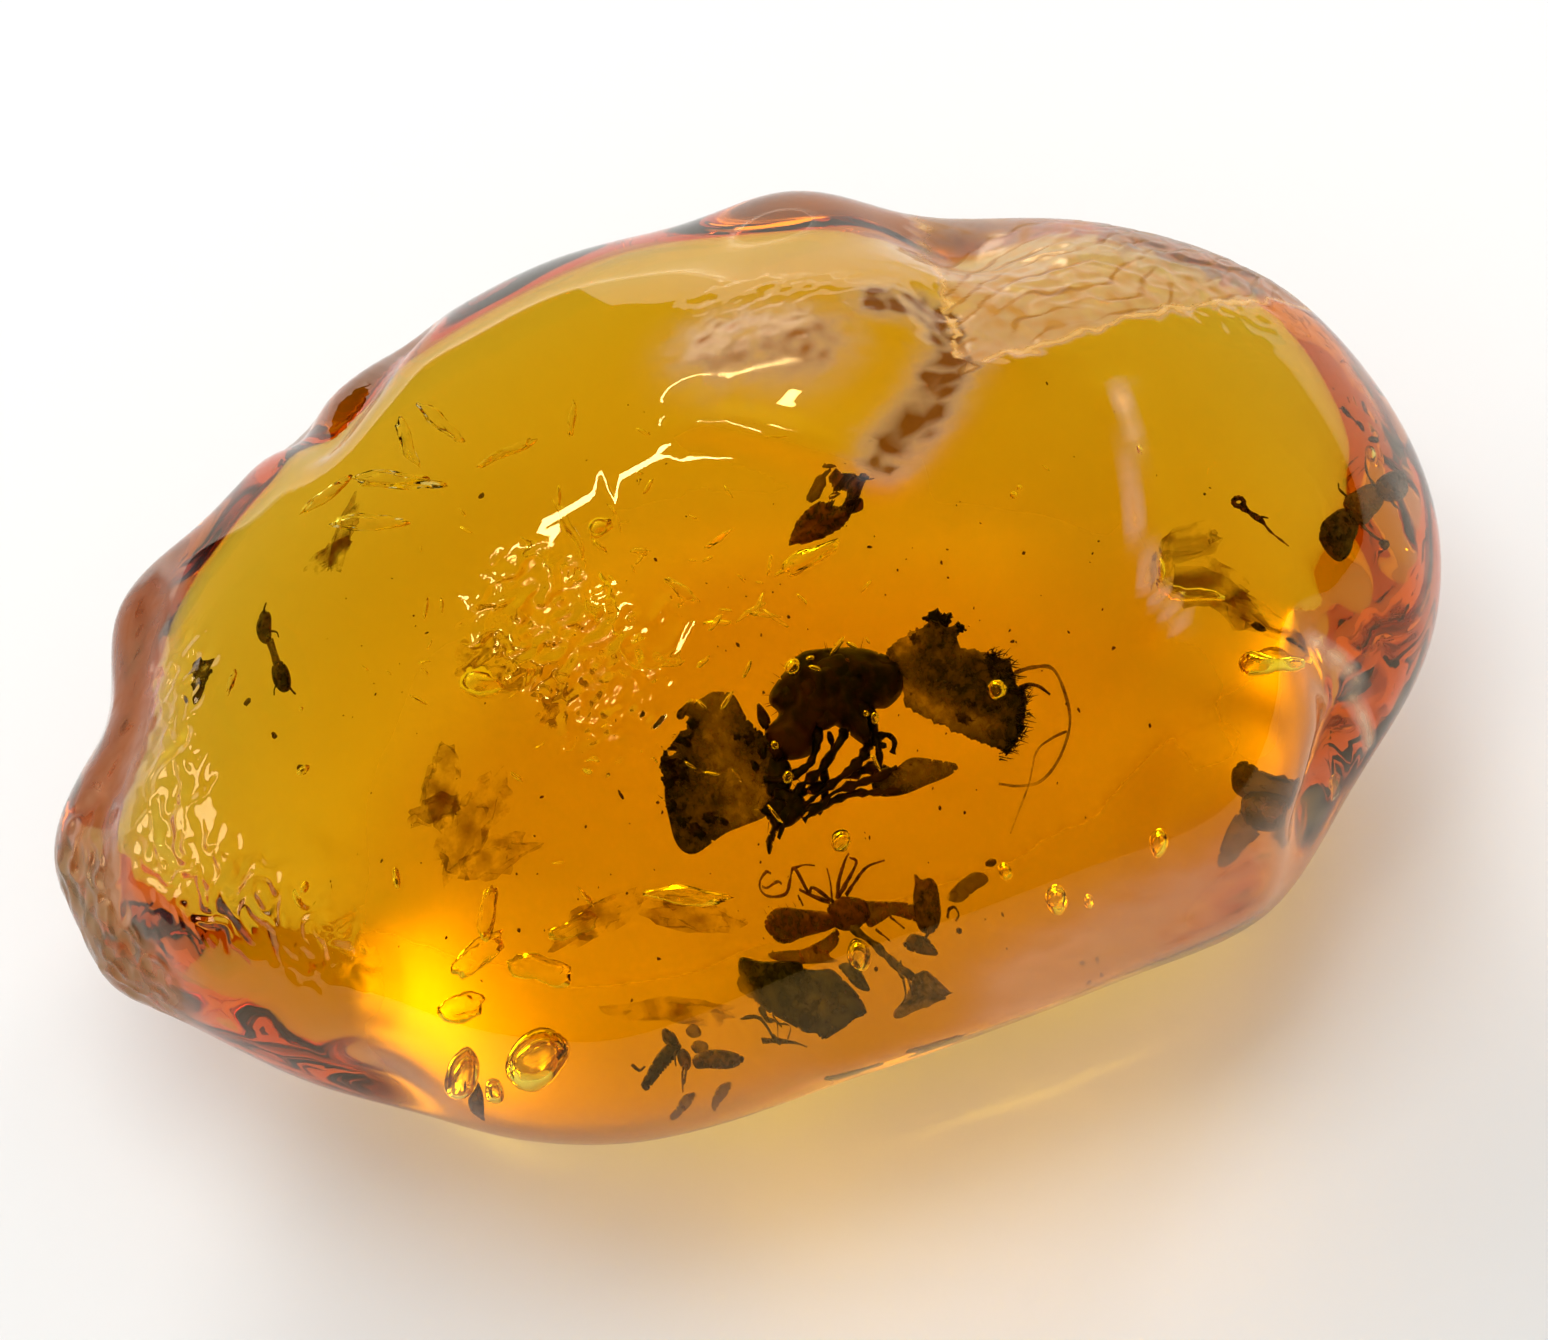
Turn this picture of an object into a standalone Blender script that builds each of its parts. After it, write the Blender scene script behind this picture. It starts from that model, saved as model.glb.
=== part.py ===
"""A polished nugget of amber with insects and plant scraps sealed inside it.

The amber is parted along one tilted plane, in the layer where the insects lie. Each insect
or scrap has a pocket of its own, which is open on that plane.
"""

import math

import bmesh
import bpy
from mathutils import Matrix, Vector

# Driving dimensions, in millimetres and degrees
MM = 0.001
HALF_LENGTH = 23.0
# Sections from the left end to the right end: x, half width, half height, middle y, middle z
SECTIONS = (
    (-23.0, 11.5, 7.6, 0.5, 7.2),
    (-20.0, 12.4, 8.2, 0.3, 7.7),
    (-15.0, 14.5, 8.9, 0.1, 8.5),
    (-8.0, 15.6, 9.8, -0.1, 9.2),
    (0.0, 15.4, 10.2, 0.6, 9.4),
    (8.0, 15.3, 10.4, 0.0, 9.6),
    (15.0, 16.4, 10.2, -0.2, 9.2),
    (20.0, 16.6, 9.8, 0.2, 8.6),
    (23.0, 16.0, 9.4, 0.3, 8.2),
)
# Swellings and dents of the skin: x, y, z, radius, height, and a dent's height is below zero
SWELLINGS = (
    (5.8, 13.0, 14.6, 2.2, 1.0),
    (-2.5, 14.0, 14.0, 3.0, 0.5),
    (-8.5, 12.4, 13.6, 2.6, 0.5),
    (-13.5, 10.7, 12.1, 2.5, 0.5),
    (-18.2, 7.6, 10.6, 2.2, 1.5),
    (-20.2, 5.4, 9.8, 1.2, -0.5),
    (-22.8, 1.8, 7.8, 1.6, 0.5),
    (-22.3, -2.9, 6.6, 1.4, 0.5),
    (-14.6, -11.2, 8.4, 1.7, -0.9),
    (15.3, 10.5, 12.9, 2.6, 0.1),
    (20.0, 7.2, 11.0, 3.0, 0.4),
    (11.0, 10.0, 15.4, 1.8, -1.0),
    (18.4, -9.8, 9.3, 2.4, -1.5),
    (16.0, -12.0, 8.6, 1.3, -0.5),
    (13.5, -12.6, 5.0, 2.5, 0.35),
    (5.5, 4.1, 19.3, 3.2, 0.7),
)
# Folds of the skin: points along the fold, half width, and height, below zero for a groove
FOLDS = (
    (((9.4, 5.0, 18.4), (8.1, 0.6, 19.3), (6.0, -1.2, 19.6), (3.8, 0.7, 19.7), (1.0, 2.7, 19.6)), 0.7, -0.45),
    (((10.8, 9.9, 15.8), (10.8, 3.7, 18.3)), 1.8, -0.6),
    (((13.7, 0.3, 17.5), (12.8, -7.7, 16.4)), 0.5, -0.25),
    (((17.6, -8.2, 13.1), (18.3, -9.6, 10.7), (16.6, -11.8, 9.2)), 0.8, -0.45),
    (((-11.8, 11.6, 12.4), (-10.7, 9.3, 15.1), (-9.3, 10.5, 15.0), (-7.5, 12.7, 13.9)), 0.7, -0.5),
    (((-17.5, 7.0, 12.0), (-19.3, 3.1, 11.9), (-21.0, 1.2, 10.8)), 0.8, -0.35),
    (((-0.2, -14.8, 8.6), (4.7, -14.6, 8.6), (13.1, -13.4, 8.7)), 0.9, 0.3),
)
SKIN_SUBDIVISIONS = 5
PARTING_HEIGHT = 9.5
PARTING_TILT = 20.0
PARTING_GAP = 0.3
POCKET_CLEARANCE = 0.4
FLOOR_Z = 0.0

OBJECT_NAME = "insect_in_amber"
HELPERS_NAME = "construction_shapes"
# From the parting plane's own axes (u along the nugget, v up the slope, w off it) to the world
LAYER = Matrix.Translation((0, 0, PARTING_HEIGHT * MM)) @ Matrix.Rotation(math.radians(PARTING_TILT), 4, "X")


def clear_scene():
    for obj in list(bpy.data.objects):
        bpy.data.objects.remove(obj, do_unlink=True)


def new_collection(name):
    collection = bpy.data.collections.new(name)
    bpy.context.scene.collection.children.link(collection)
    return collection


def principled(name, colour, roughness):
    material = bpy.data.materials.new(name)
    material.use_nodes = True
    shader = material.node_tree.nodes["Principled BSDF"]
    shader.inputs["Base Color"].default_value = (*colour, 1.0)
    shader.inputs["Roughness"].default_value = roughness
    shader.inputs["Metallic"].default_value = 0.0
    return material


def object_from(bm, name, collection, matrix):
    mesh = bpy.data.meshes.new(name)
    bm.to_mesh(mesh)
    bm.free()
    obj = bpy.data.objects.new(name, mesh)
    obj.matrix_world = matrix
    collection.objects.link(obj)
    return obj


def hide_helper(obj):
    obj.hide_render = True
    obj.display_type = "WIRE"


def section_at(x):
    """Half width, half height, middle y and middle z of the nugget at x, on a smooth curve through SECTIONS."""
    last = len(SECTIONS) - 2
    index = max(i for i in range(last + 1) if i == 0 or SECTIONS[i][0] <= x)
    before, start, end, after = (
        SECTIONS[max(index - 1, 0)],
        SECTIONS[index],
        SECTIONS[index + 1],
        SECTIONS[min(index + 2, last + 1)],
    )
    span = end[0] - start[0]
    t = min(max((x - start[0]) / span, 0.0), 1.0)
    values = []
    for k in range(1, 5):
        slope_start = (end[k] - before[k]) / (end[0] - before[0]) * span
        slope_end = (after[k] - start[k]) / (after[0] - start[0]) * span
        values.append(
            (2 * t**3 - 3 * t**2 + 1) * start[k]
            + (t**3 - 2 * t**2 + t) * slope_start
            + (3 * t**2 - 2 * t**3) * end[k]
            + (t**3 - t**2) * slope_end
        )
    return values


def squared_distance_to_line(point, line):
    least = math.inf
    for start, end in zip(line, line[1:]):
        start = Vector(start)
        along = Vector(end) - start
        t = min(max((point - start).dot(along) / along.length_squared, 0.0), 1.0)
        least = min(least, (point - start - t * along).length_squared)
    return least


def skin_point(direction):
    """The nugget's skin, in millimetres, in the place that a point of the unit sphere takes."""
    x = HALF_LENGTH * direction.x
    half_width, half_height, middle_y, middle_z = section_at(x)
    point = Vector((x, middle_y + half_width * direction.y, middle_z + half_height * direction.z))
    outward = Vector((direction.x / HALF_LENGTH, direction.y / half_width, direction.z / half_height)).normalized()
    push = 0.0
    for sx, sy, sz, radius, height in SWELLINGS:
        distance = (point - Vector((sx, sy, sz))).length_squared
        push += height * math.exp(-distance / (2 * radius**2))
    for line, half_width_of_fold, height in FOLDS:
        push += height * math.exp(-squared_distance_to_line(point, line) / (2 * half_width_of_fold**2))
    return point + push * outward


def cut_flat(bm, place, normal):
    """Cuts away what lies on the normal's side of the plane, and closes the cut."""
    geometry = bm.verts[:] + bm.edges[:] + bm.faces[:]
    cut = bmesh.ops.bisect_plane(bm, geom=geometry, dist=1e-7, plane_co=place, plane_no=normal, clear_outer=True)
    rim = [part for part in cut["geom_cut"] if isinstance(part, bmesh.types.BMEdge)]
    bmesh.ops.edgeloop_fill(bm, edges=rim)


def amber_half(name, side, pockets):
    """One half of the nugget: side is 1 above the parting plane and -1 below it."""
    bm = bmesh.new()
    bmesh.ops.create_icosphere(bm, subdivisions=SKIN_SUBDIVISIONS, radius=1.0)
    for vert in bm.verts:
        vert.co = skin_point(vert.co.normalized()) * MM
    cut_flat(bm, Vector((0, 0, FLOOR_Z)), Vector((0, 0, -1)))
    off_plane = LAYER.to_3x3() @ Vector((0, 0, 1))
    cut_flat(bm, LAYER.translation + off_plane * side * PARTING_GAP / 2 * MM, -side * off_plane)
    bmesh.ops.recalc_face_normals(bm, faces=bm.faces)
    half = object_from(bm, name, parts, Matrix())
    cut = half.modifiers.new("pockets", "BOOLEAN")
    cut.operation = "DIFFERENCE"
    cut.operand_type = "COLLECTION"
    cut.collection = pockets
    cut.solver = "EXACT"
    half.data.materials.append(principled(name, (0.72, 0.34, 0.03), 0.08))
    half.data.shade_smooth()
    half.data.set_sharp_from_angle(angle=math.radians(40))
    return half


def ellipsoid(middle, half_sizes, turn=0.0):
    """A rounded body part: its middle and its half sizes along u, v and w, turned on the plane by degrees."""
    bm = bmesh.new()
    bmesh.ops.create_uvsphere(bm, u_segments=9, v_segments=6, radius=MM)
    place = Matrix.Translation(Vector(middle) * MM) @ Matrix.Rotation(math.radians(turn), 4, "Z")
    bmesh.ops.transform(bm, matrix=place @ Matrix.Diagonal((*half_sizes, 1.0)), verts=bm.verts)
    return bm


def mesh_of_curve(curve):
    """A closed bmesh of a curve, with its caps welded to its sides."""
    obj = bpy.data.objects.new(curve.name, curve)
    bpy.context.scene.collection.objects.link(obj)
    graph = bpy.context.evaluated_depsgraph_get()
    mesh = bpy.data.meshes.new_from_object(obj.evaluated_get(graph))
    bm = bmesh.new()
    bm.from_mesh(mesh)
    bpy.data.objects.remove(obj)
    bpy.data.curves.remove(curve)
    bpy.data.meshes.remove(mesh)
    bmesh.ops.remove_doubles(bm, verts=bm.verts, dist=1e-6)
    bmesh.ops.recalc_face_normals(bm, faces=bm.faces)
    return bm


def plate(outline, thickness, middle=0.0):
    """A flat wing or flake with this outline on the plane, its middle so far off the plane."""
    curve = bpy.data.curves.new("plate", "CURVE")
    curve.dimensions = "2D"
    curve.fill_mode = "BOTH"
    curve.extrude = thickness / 2 * MM
    spline = curve.splines.new("POLY")
    spline.points.add(len(outline) - 1)
    for point, (u, v) in zip(spline.points, outline):
        point.co = (u * MM, v * MM, 0.0, 1.0)
    spline.use_cyclic_u = True
    bm = mesh_of_curve(curve)
    bmesh.ops.translate(bm, vec=(0, 0, middle * MM), verts=bm.verts)
    return bm


def limb(route, thick, thin, sides_step=0):
    """A leg, feeler or stalk along its route, tapering from one radius to the other."""
    curve = bpy.data.curves.new("limb", "CURVE")
    curve.dimensions = "3D"
    curve.bevel_depth = MM
    curve.bevel_resolution = sides_step
    curve.use_fill_caps = True
    spline = curve.splines.new("POLY")
    spline.points.add(len(route) - 1)
    for step, (point, place) in enumerate(zip(spline.points, route)):
        share = step / (len(route) - 1)
        point.co = (*(Vector(place) * MM), 1.0)
        point.radius = thick + (thin - thick) * share
    return mesh_of_curve(curve)


def inclusion(name, colour, shapes):
    """Grows the shapes together into one node in the layer, and gives it a pocket."""
    corners = [vert.co.copy() for shape in shapes for vert in shape.verts]
    low = Vector([min(corner[k] for corner in corners) for k in range(3)])
    high = Vector([max(corner[k] for corner in corners) for k in range(3)])
    body = object_from(shapes[0], name, parts, LAYER)
    grown = bpy.data.collections.new(name + "_shapes")
    helpers.children.link(grown)
    for number, shape in enumerate(shapes[1:], start=1):
        hide_helper(object_from(shape, f"{name}_shape_{number}", grown, LAYER))
    if len(shapes) > 1:
        union = body.modifiers.new("grown together", "BOOLEAN")
        union.operation = "UNION"
        union.operand_type = "COLLECTION"
        union.collection = grown
        union.solver = "EXACT"
    body.data.materials.append(principled(name, colour, 0.5))
    body.data.shade_smooth()
    body.data.set_sharp_from_angle(angle=math.radians(40))
    room = Vector((1, 1, 1)) * POCKET_CLEARANCE * MM
    size = high - low + 2 * room
    bm = bmesh.new()
    bmesh.ops.create_cube(bm, size=1.0)
    box = Matrix.Translation((low + high) / 2) @ Matrix.Diagonal((*size, 1.0))
    bmesh.ops.transform(bm, matrix=box, verts=bm.verts)
    hide_helper(object_from(bm, name + "_pocket", pockets, LAYER))
    return body


def winged_insect():
    """The main insect: a hunched black body with spread wings and a tangle of legs below it."""
    left_wing = (
        (-1.1, -1.65), (-0.5, -1.75), (-0.1, -2.3), (0.4, -2.9), (1.0, -3.6), (0.2, -4.6), (-0.6, -4.9),
        (-1.3, -5.0), (-1.9, -5.2), (-2.9, -5.3), (-3.35, -5.1), (-3.4, -4.3), (-3.1, -3.3), (-2.5, -2.7), (-1.8, -2.0),
    )
    right_wing = (
        (3.9, -2.0), (4.6, -1.7), (5.5, -1.5), (6.3, -1.5), (6.8, -1.85), (7.1, -2.5), (7.7, -3.1), (7.75, -4.2),
        (7.4, -4.8), (6.9, -5.15), (6.0, -4.7), (5.2, -4.0), (4.5, -3.3),
    )
    blade = ((2.4, -4.4), (3.5, -4.35), (4.5, -4.55), (5.2, -4.75), (5.4, -5.0), (4.5, -5.2), (3.6, -5.2), (2.7, -5.0))
    legs = (
        ((2.4, -3.0, -0.2), (3.1, -3.9, -0.4), (2.3, -4.8, -0.3), (1.3, -5.2, -0.4)),
        ((3.6, -2.8, -0.1), (3.5, -3.9, -0.5), (2.9, -4.7, -0.6), (1.9, -5.3, -0.5)),
        ((1.8, -3.0, -0.2), (1.6, -4.4, -0.8), (0.6, -5.2, -0.9)),
        ((1.2, -3.6, 0.2), (2.0, -4.5, 0.6), (3.4, -5.1, 0.5)),
        ((4.1, -2.7, 0.0), (3.9, -3.6, 0.5), (3.0, -4.4, 0.7), (1.5, -4.9, 0.7)),
    )
    feeler = (
        (7.3, -3.3, 0.0), (8.0, -3.4, 0.1), (8.6, -3.6, 0.1), (8.85, -4.2, 0.1), (8.7, -5.0, 0.0),
        (8.2, -5.5, 0.0), (7.4, -5.8, 0.0), (6.5, -5.65, 0.0),
    )
    shapes = [
        ellipsoid((2.9, -2.4, 0.1), (1.8, 1.1, 0.95), -12),
        ellipsoid((1.5, -2.3, 0.0), (0.95, 0.9, 0.8)),
        ellipsoid((4.2, -2.5, 0.1), (0.65, 0.7, 0.6)),
        ellipsoid((1.2, -3.7, -0.1), (1.15, 1.1, 0.7), 20),
        ellipsoid((0.3, -4.8, -0.1), (0.7, 0.55, 0.45), 30),
        plate(left_wing, 0.22, 0.1),
        plate(right_wing, 0.22, 0.15),
        plate(blade, 0.2, -0.25),
        limb(((0.2, -4.8, -0.1), (-0.1, -5.3, 0.0), (-0.8, -5.8, 0.0)), 0.3, 0.08),
        limb(((0.9, -2.9, 0.2), (0.5, -2.6, 0.3), (0.3, -2.15, 0.3)), 0.2, 0.07),
        limb(((7.3, -3.7, 0.15), (8.1, -3.8, 0.3), (8.4, -4.1, 0.4)), 0.09, 0.06),
        limb(feeler, 0.09, 0.06),
    ]
    shapes += [limb(route, 0.16, 0.1) for route in legs]
    return inclusion("winged_insect", (0.03, 0.015, 0.01), shapes)


def long_legged_gnat():
    """A gnat with a long narrow body, seen from the side, its legs curled over it."""
    legs = (
        ((0.9, -7.5, 0.1), (0.05, -6.95, 0.3), (-0.15, -6.4, 0.3), (-0.6, -6.75, 0.3), (-1.4, -6.75, 0.2)),
        ((1.1, -7.4, 0.0), (0.7, -7.0, 0.0), (0.9, -6.6, 0.1)),
        ((1.3, -7.4, 0.1), (1.2, -6.85, 0.3), (1.7, -6.65, 0.4)),
        ((1.5, -7.4, 0.1), (2.0, -6.95, 0.4), (2.6, -7.0, 0.4)),
    )
    shapes = [
        ellipsoid((-0.75, -7.45, 0.0), (1.05, 0.36, 0.38), -3),
        limb(((-0.3, -7.5, 0.0), (1.3, -7.55, 0.0)), 0.3, 0.25, 1),
        ellipsoid((1.2, -7.6, 0.0), (0.62, 0.36, 0.42)),
        plate(((1.2, -7.45), (2.2, -7.5), (2.72, -7.65), (2.72, -7.9), (2.1, -7.85), (1.3, -7.85)), 0.18),
        plate(((-1.85, -8.0), (-1.0, -7.8), (0.9, -7.7), (1.0, -7.95), (0.1, -8.1), (-0.8, -8.25)), 0.18, -0.1),
    ]
    shapes += [limb(route, 0.1, 0.06) for route in legs]
    return inclusion("long_legged_gnat", (0.10, 0.03, 0.015), shapes)


def stalked_bud():
    """A flower bud on a bent stalk, its cup ragged at the free end."""
    cup = (
        (2.2, -9.35), (2.8, -9.2), (3.15, -9.6), (3.35, -10.2), (3.1, -10.55), (3.3, -10.95), (2.7, -10.9),
        (2.5, -11.3), (1.6, -11.3), (1.4, -10.7), (1.55, -10.2), (1.85, -9.8),
    )
    shapes = [
        ellipsoid((2.35, -10.2, 0.0), (0.7, 0.9, 0.42), -15),
        plate(cup, 0.35),
        limb(((1.5, -8.42, 0.0), (1.9, -8.8, 0.0), (2.35, -9.35, 0.0), (2.4, -9.7, 0.0)), 0.11, 0.16, 1),
    ]
    return inclusion("stalked_bud", (0.07, 0.05, 0.04), shapes)


def seed_husk():
    """A narrow husk with a three-cornered scale at its foot."""
    shapes = [
        ellipsoid((3.5, -7.85, 0.0), (0.32, 0.62, 0.25), -20),
        plate(((2.5, -8.6), (2.8, -8.42), (3.35, -8.3), (3.25, -8.85), (2.85, -8.9)), 0.25),
    ]
    return inclusion("seed_husk", (0.08, 0.04, 0.02), shapes)


def bark_flake():
    """A charred flake of bark, thin and split at its left end, with a sliver lifting off its right side."""
    flake = (
        (-3.0, -8.55), (-2.6, -8.5), (-1.9, -8.5), (-1.0, -8.62), (-0.4, -8.75), (0.0, -9.0), (0.45, -9.3),
        (0.65, -9.6), (0.65, -10.05), (0.1, -10.3), (-0.2, -10.75), (-0.9, -10.85), (-1.1, -10.3), (-1.7, -9.95),
        (-2.2, -9.5), (-2.8, -9.2), (-3.05, -8.9),
    )
    sliver = ((0.25, -8.7), (0.6, -8.72), (0.85, -9.0), (0.95, -9.45), (0.5, -9.7), (0.2, -9.5), (0.5, -9.1))
    shapes = [
        plate(flake, 0.5),
        ellipsoid((-0.6, -9.65, 0.05), (1.1, 0.65, 0.42), -30),
        plate(sliver, 0.2, 0.1),
    ]
    return inclusion("bark_flake", (0.015, 0.012, 0.01), shapes)


def small_ant():
    """A winged ant: a dark wing to the left, a brown one to the right, and a small body between."""
    left_wing = (
        (-6.35, -10.05), (-6.1, -9.9), (-5.7, -9.7), (-5.3, -9.55), (-5.05, -9.62), (-5.4, -9.85),
        (-5.8, -10.05), (-6.2, -10.2),
    )
    right_wing = ((-5.0, -9.85), (-4.6, -9.88), (-4.0, -10.02), (-3.6, -10.2), (-3.9, -10.28), (-5.0, -10.1))
    shapes = [
        ellipsoid((-5.1, -9.85, 0.0), (0.24, 0.2, 0.2)),
        ellipsoid((-5.15, -9.45, 0.0), (0.18, 0.24, 0.18), 25),
        limb(((-5.12, -9.85, 0.0), (-5.14, -9.5, 0.0)), 0.1, 0.1),
        plate(left_wing, 0.14, 0.05),
        plate(right_wing, 0.14, 0.05),
        limb(((-5.15, -9.9, 0.0), (-5.45, -10.15, 0.0), (-5.55, -10.4, 0.0)), 0.07, 0.05),
    ]
    return inclusion("small_ant", (0.05, 0.03, 0.02), shapes)


def beetle():
    """A beetle on its side near the right end, its abdomen half drawn out of the wing cases."""
    shapes = [
        ellipsoid((20.35, -0.75, 0.0), (0.95, 0.48, 0.42), -3),
        ellipsoid((19.1, -1.25, 0.0), (0.95, 0.6, 0.48), 20),
        ellipsoid((17.75, -1.8, 0.0), (0.85, 0.65, 0.52), 30),
        limb(((20.9, -0.5, 0.0), (21.3, -0.3, 0.1)), 0.18, 0.08),
        limb(((19.8, -0.7, 0.1), (19.7, -0.2, 0.2), (19.9, 0.3, 0.2)), 0.1, 0.06),
        limb(((18.6, -1.6, 0.0), (19.2, -2.2, 0.1), (19.6, -2.3, 0.1)), 0.1, 0.06),
    ]
    return inclusion("beetle", (0.05, 0.03, 0.025), shapes)


def wood_splinter():
    """A splinter of wood with one small side branch."""
    shapes = [
        limb(((14.95, -0.7, 0.0), (15.25, -0.95, 0.0), (15.5, -1.4, 0.0), (16.0, -1.95, 0.0)), 0.2, 0.07, 1),
        limb(((15.35, -1.15, 0.0), (15.65, -1.15, 0.05)), 0.1, 0.05),
    ]
    return inclusion("wood_splinter", (0.04, 0.02, 0.01), shapes)


def fungus_gnat():
    """A gnat low in the right shoulder, one wing hanging and one leg trailing."""
    shapes = [
        ellipsoid((12.85, -7.3, 0.0), (0.4, 0.5, 0.35), 15),
        ellipsoid((12.9, -8.0, 0.0), (0.45, 0.5, 0.35)),
        ellipsoid((13.3, -8.7, 0.0), (0.35, 0.55, 0.28), 30),
        plate(((12.9, -7.8), (12.85, -8.3), (12.1, -9.0), (11.75, -9.0), (11.85, -8.4), (12.3, -7.9)), 0.16),
        limb(((13.2, -8.6, 0.0), (13.1, -9.3, 0.0), (12.6, -9.8, 0.0)), 0.09, 0.05),
    ]
    return inclusion("fungus_gnat", (0.09, 0.05, 0.035), shapes)


def midge():
    """A midge near the left end, its thin waist stretched between the head end and the abdomen."""
    shapes = [
        ellipsoid((-13.25, 4.35, 0.0), (0.32, 0.52, 0.28), -10),
        ellipsoid((-12.98, 2.6, 0.0), (0.36, 0.52, 0.32), 8),
        limb(((-13.2, 4.2, 0.0), (-13.1, 3.5, 0.0), (-13.0, 2.8, 0.0)), 0.14, 0.16, 1),
        limb(((-13.2, 4.6, 0.0), (-13.1, 5.1, 0.0)), 0.12, 0.06),
        limb(((-12.8, 2.4, 0.0), (-12.65, 1.9, 0.0)), 0.08, 0.05),
    ]
    return inclusion("midge", (0.10, 0.06, 0.02), shapes)


def leaf_scrap():
    """A curled scrap of leaf beside the left end."""
    outline = (
        (-16.2, 4.4), (-15.7, 4.45), (-15.15, 4.2), (-15.4, 3.8), (-15.75, 3.4), (-16.3, 3.2), (-16.4, 3.8),
    )
    return inclusion("leaf_scrap", (0.16, 0.10, 0.02), [plate(outline, 0.3)])


def wood_fragment():
    """A dark red-brown lump of rotten wood, above the middle."""
    shapes = [
        ellipsoid((3.6, 2.1, 0.0), (0.95, 0.45, 0.4), 18),
        plate(((2.65, 1.75), (3.2, 2.35), (3.9, 2.6), (4.3, 2.4), (4.45, 2.0), (3.9, 1.65), (3.0, 1.6)), 0.35),
    ]
    return inclusion("wood_fragment", (0.09, 0.03, 0.01), shapes)


def seed():
    """A small seed, low at the front left."""
    return inclusion("seed", (0.10, 0.05, 0.02), [ellipsoid((-10.2, -9.4, 0.0), (0.14, 0.42, 0.14), -10)])


clear_scene()
parts = new_collection(OBJECT_NAME)
helpers = new_collection(HELPERS_NAME)
pockets = bpy.data.collections.new("pockets")
helpers.children.link(pockets)

winged_insect()
long_legged_gnat()
stalked_bud()
seed_husk()
bark_flake()
small_ant()
beetle()
wood_splinter()
fungus_gnat()
midge()
leaf_scrap()
wood_fragment()
seed()
amber_half("amber_upper", 1, pockets)
amber_half("amber_lower", -1, pockets)
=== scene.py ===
import math
import random

import bmesh
import bpy
import numpy as np
from mathutils import Matrix, Vector, noise


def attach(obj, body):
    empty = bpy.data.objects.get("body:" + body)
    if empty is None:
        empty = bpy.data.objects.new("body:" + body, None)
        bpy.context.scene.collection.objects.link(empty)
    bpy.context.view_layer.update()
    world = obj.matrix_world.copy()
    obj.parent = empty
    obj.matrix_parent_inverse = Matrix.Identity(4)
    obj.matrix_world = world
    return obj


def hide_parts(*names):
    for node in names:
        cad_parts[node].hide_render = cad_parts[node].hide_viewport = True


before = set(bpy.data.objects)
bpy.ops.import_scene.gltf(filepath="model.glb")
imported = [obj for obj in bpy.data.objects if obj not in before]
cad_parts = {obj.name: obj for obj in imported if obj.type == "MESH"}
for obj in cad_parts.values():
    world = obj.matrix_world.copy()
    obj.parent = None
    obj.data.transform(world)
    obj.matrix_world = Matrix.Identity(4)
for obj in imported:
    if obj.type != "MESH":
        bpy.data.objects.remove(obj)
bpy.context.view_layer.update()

# Amber
# The nugget is one lump of fossil resin, tumbled by water and then polished by hand. It is clear,
# yellow where it is thin and orange where it is thick, with gas bubbles and thin splits inside. Its
# skin is still wrinkled, crazed or weathered brown where the polishing wheel didn't reach.
# Some pale strips along the rims and the right shoulder, and a dark band on the top, are painted highlights
# and reflections.
MM = 0.001
HALF_LENGTH = 23.0
# Sections from the left end to the right end: x, half width, half height, middle y, middle z
SECTIONS = np.array((
    (-23.0, 11.5, 7.6, 0.5, 7.2), (-20.0, 12.4, 8.2, 0.3, 7.7), (-15.0, 14.5, 8.9, 0.1, 8.5),
    (-8.0, 15.6, 9.8, -0.1, 9.2), (0.0, 15.4, 10.2, 0.6, 9.4), (8.0, 15.3, 10.4, 0.0, 9.6),
    (15.0, 16.4, 10.2, -0.2, 9.2), (20.0, 16.6, 9.8, 0.2, 8.6), (23.0, 16.0, 9.4, 0.3, 8.2),
))
# Swellings and dents: x, y, z, radius, height
SWELLINGS = (
    (5.8, 13.0, 14.6, 2.2, 1.0), (-2.5, 14.0, 14.0, 3.0, 0.5), (-8.5, 12.4, 13.6, 2.6, 0.5),
    (-13.5, 10.7, 12.1, 2.5, 0.5), (-18.2, 7.6, 10.6, 2.2, 1.5), (-20.2, 5.4, 9.8, 1.2, -0.5),
    (-22.8, 1.8, 7.8, 1.6, 0.5), (-22.3, -2.9, 6.6, 1.4, 0.5), (-14.6, -11.2, 8.4, 1.7, -0.9),
    (15.3, 10.5, 12.9, 2.6, 0.1), (20.0, 7.2, 11.0, 3.0, 0.4), (11.0, 10.0, 15.4, 1.8, -1.0),
    (18.4, -9.8, 9.3, 2.4, -1.5), (16.0, -12.0, 8.6, 1.3, -0.5), (13.5, -12.6, 5.0, 2.5, 0.35),
    (5.5, 4.1, 19.3, 3.2, 0.7),
)
# Folds and grooves: points along the fold, half width, height
FOLDS = (
    (((9.4, 5.0, 18.4), (8.1, 0.6, 19.3), (6.0, -1.2, 19.6), (3.8, 0.7, 19.7), (1.0, 2.7, 19.6)), 0.7,
     -0.45),
    (((10.8, 9.9, 15.8), (10.8, 3.7, 18.3)), 1.8, -0.6),
    (((13.7, 0.3, 17.5), (12.8, -7.7, 16.4)), 0.5, -0.25),
    (((17.6, -8.2, 13.1), (18.3, -9.6, 10.7), (16.6, -11.8, 9.2)), 0.8, -0.45),
    (((-11.8, 11.6, 12.4), (-10.7, 9.3, 15.1), (-9.3, 10.5, 15.0), (-7.5, 12.7, 13.9)), 0.7, -0.5),
    (((-17.5, 7.0, 12.0), (-19.3, 3.1, 11.9), (-21.0, 1.2, 10.8)), 0.8, -0.35),
    (((-0.2, -14.8, 8.6), (4.7, -14.6, 8.6), (13.1, -13.4, 8.7)), 0.9, 0.3),
)
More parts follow.
